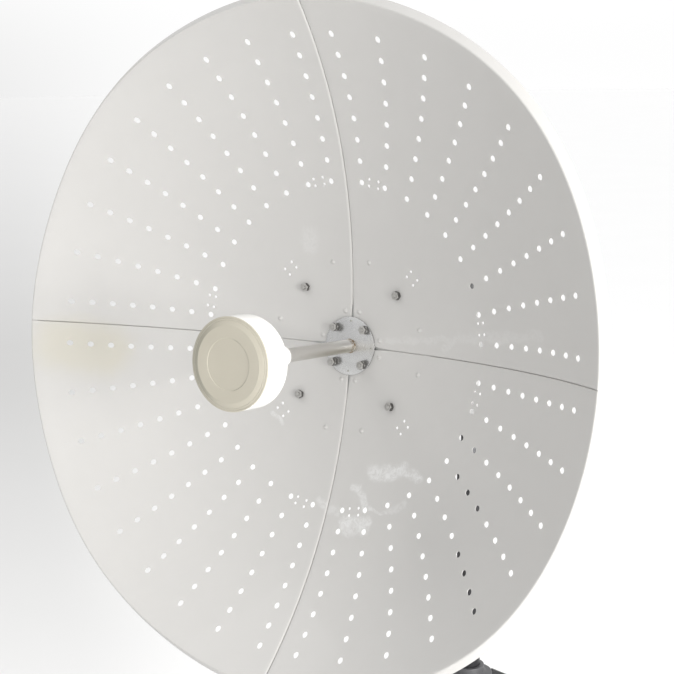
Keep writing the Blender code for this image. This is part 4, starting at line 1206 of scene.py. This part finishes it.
HUB_METAL = finish("hub_metal", hub_metal)
BLACKENED = finish("blackened_steel", blackened_steel)
hub = moved(plate(ring(HUB_RADIUS, 120), hub_holes, HUB_THICKNESS, 0.0007), (0, 0, HUB_BACK))
piece("hub_plate_disc", on_dish(hub), HUB_METAL, "zinc", "hub_plate", plan=hub[0][:, :2])
hub_front = HUB_BACK + HUB_THICKNESS
dome = [(RIVET_RADIUS * math.cos(a), hub_front + RIVET_RISE * math.sin(a)) for a in np.linspace(0, 1.4, 7)]
dome = [(0, hub_front), *dome, (0, hub_front + RIVET_RISE)]
rivets = [moved(turned(dome, 20), (RIVET_REACH * math.cos(a), RIVET_REACH * math.sin(a), 0))
          for a in (0.0, math.pi / 2, math.pi, 1.5 * math.pi)]
piece("hub_rivets", on_dish(joined(*rivets)), BOLT_STEEL, "bolt_steel")

front_z = hub_front + GAP
rear_z = base_low_z - GAP
jam_z = front_z + HUB_NUT_HEIGHT + NUT_GROOVE
hub_bolt = joined(
    moved(nut(NUT_FLATS, NUT_HEIGHT), (0, 0, rear_z - NUT_HEIGHT)),
    moved(nut(NUT_FLATS, HUB_NUT_HEIGHT, NUT_BORE), (0, 0, front_z)),
    moved(nut(NUT_FLATS, HUB_NUT_HEIGHT, NUT_BORE), (0, 0, jam_z), "Z", 0.4),
    thread(M8, rear_z - 0.001, jam_z + HUB_NUT_HEIGHT + HUB_STUD_END),
)
petal_rear = -CAD_SHEET - BACK_THICKNESS - 2 * GAP
petal_bolt = joined(
    thread(M8, petal_rear - NUT_HEIGHT - STUD_END, GAP + HEAD_HEIGHT + STUD_END),
    moved(nut(NUT_FLATS, NUT_HEIGHT, NUT_BORE), (0, 0, petal_rear - NUT_HEIGHT)),
    moved(nut(NUT_FLATS, HEAD_HEIGHT, NUT_BORE), (0, 0, GAP)),
)
CORNERS = {"upper_right": (1, 1), "upper_left": (-1, 1), "lower_left": (-1, -1), "lower_right": (1, -1)}
for (corner_name, (x, y)), nut_turn in zip(CORNERS.items(), (0.3, 0.75, 0.1, 0.55)):
    name = "hub_bolt_" + corner_name
    through_hub = moved(hub_bolt, (*on_diagonal(HUB_BOLT_REACH, x, y), 0), "Z", nut_turn)
    piece(name + "_steel", on_dish(through_hub), BLACKENED, "bolt_steel", name)
    name = "petal_bolt_" + corner_name
    through_petal = square_to_sheet(petal_bolt, on_diagonal(PETAL_BOLT_REACH, x, y), 0.0, nut_turn)
    piece(name + "_steel", on_dish(through_petal), BLACKENED, "bolt_steel", name)


# Feed
# A satin metal tube welded to the hub plate, slightly drooping, carries the moulded
# drum: a glossy white back with a long sleeve on the tube, and a cream front cover
# with a grooved rim and a shallow round recess.
DROOP = math.radians(2.78)
REACH = 0.3508
TUBE = 0.01225
DRUM = 0.0793
DRUM_LENGTH = 0.0600
COVER = 0.003
CROWN = REACH + 0.0038
FACE = 0.0646
BOSS = 0.018
BOSS_LENGTH = 0.0886


def on_feed(shape):
    """A shape from the feed's own axis to the room."""
    return on_dish(moved(shape, (0, 0, hub_front), "X", DROOP))


def tube_metal(tone, place):
    long = tone.node("VectorMath", {"operation": "MULTIPLY"}, {0: place, 1: (1.0, 0.05, 1.0)})
    drawn = tone.noise(long, 0.0012, 3.0, 0.6)
    cloud = tone.noise(place, 0.03, 4.0, 0.6)
    along = place.part("Y") * -1.0
    below = tone.normal().part("Z") * -1.0
    metal = (cloud * 0.6 + drawn * 0.4).between((0.52, 0.505, 0.48), (0.62, 0.605, 0.58))
    # Painted shade: the underside is darker and browner towards the hub.
    metal = (below.step(-0.5, 0.5) * along.step(0.640, 0.480) * 0.8).between(metal, (0.30, 0.275, 0.215))
    heated = along.step(0.457, 0.449) * tone.noise(place, 0.006, 3.0).step(0.35, 0.6)
    return {
        "Base Color": heated.between(metal, (0.22, 0.16, 0.10)),
        "Metallic": 0.75,
        "Roughness": 0.28 + drawn * 0.12,
        "Normal": tone.bump(drawn, 0.00003),
    }


def cream_plastic(tone, place):
    cloud = tone.noise(place, 0.05, 4.0, 0.55)
    grain = tone.noise(place, 0.0015, 3.0)
    painted_shade_left = tone.normal().part("X") * -1.0
    resin = cloud.between((0.425, 0.398, 0.328), (0.458, 0.430, 0.360))
    return {
        # Painted shade: faces that turn to the left, as the rim's bevel does there, are darker.
        "Base Color": (painted_shade_left.step(0.05, 0.25) * 0.6).between(resin, (0.22, 0.215, 0.17)),
        "Roughness": 0.34 + cloud * 0.10,
        "Normal": tone.bump(grain, 0.00005),
    }


def white_plastic(tone, place):
    cloud = tone.noise(place, 0.06, 3.0)
    return {
        "Base Color": cloud.between((0.83, 0.82, 0.80), (0.88, 0.87, 0.85)),
        "Roughness": 0.18 + cloud * 0.10,
        "Normal": tone.bump(tone.noise(place, 0.008), 0.00004),
    }


TUBE_METAL = finish("tube_metal", tube_metal)
CREAM = finish("cream_plastic", cream_plastic)
WHITE = finish("white_plastic", white_plastic)

drum_back = REACH - DRUM_LENGTH
tube_end = drum_back - BOSS_LENGTH - 2 * GAP
points, faces = turned([(0, 0), (TUBE, 0), *[(TUBE, z) for z in np.linspace(0.02, tube_end, 12)], (0, tube_end)], 96)
foot_z = (GAP - points[:, 1] * math.sin(DROOP)) / math.cos(DROOP)
points[:, 2] = np.where(points[:, 2] == 0, foot_z, points[:, 2])
weld_t = whole_turn(180)
weld_path = np.stack([TUBE * np.cos(weld_t), TUBE * np.sin(weld_t),
                      (0.001 - TUBE * np.sin(weld_t) * math.sin(DROOP)) / math.cos(DROOP)], -1)
weld = bead(weld_path, 0.0012, 0.0026, 10, closed=True)
piece("feed_tube_metal", on_feed(joined((points, faces), weld)), TUBE_METAL, "feed_metal", "feed_tube")

boss_back = drum_back - BOSS_LENGTH - GAP
boss_corners = rectangle((0, boss_back), (BOSS, drum_back - GAP))
piece("feed_boss_moulding", on_feed(turned(solid_profile(boss_corners, [0, 0.004, 0.0004, 0]), 80)),
      WHITE, "white_plastic", "feed_boss")

cover_back = REACH - COVER
drum_corners = rectangle((0, drum_back), (DRUM, cover_back - GAP))
piece("feed_drum_moulding", on_feed(turned(solid_profile(drum_corners, [0, 0.010, 0.0006, 0], 10), 144)),
      WHITE, "white_plastic", "feed_drum")
cover_corners = [
    (0, cover_back), (DRUM, cover_back), (DRUM, REACH), (0.0768, REACH + 0.0004), (0.0764, REACH - 0.0002),
    (0.0758, REACH + 0.0007), (0.0734, REACH + 0.0013), (0.0730, REACH + 0.0008), (0.0724, REACH + 0.0016),
    (FACE, CROWN), (0.0440, CROWN), (0.0432, CROWN - 0.0008), (0, CROWN - 0.0008),
]
cover_radii = [0, 0.0006, 0.0010, 0.0002, 0.0002, 0.0002, 0.0002, 0.0002, 0.0002, 0.0012, 0.0004, 0.0004, 0]
piece("feed_cover_moulding", on_feed(turned(solid_profile(cover_corners, cover_radii), 144)),
      CREAM, "cream_plastic", "feed_cover")
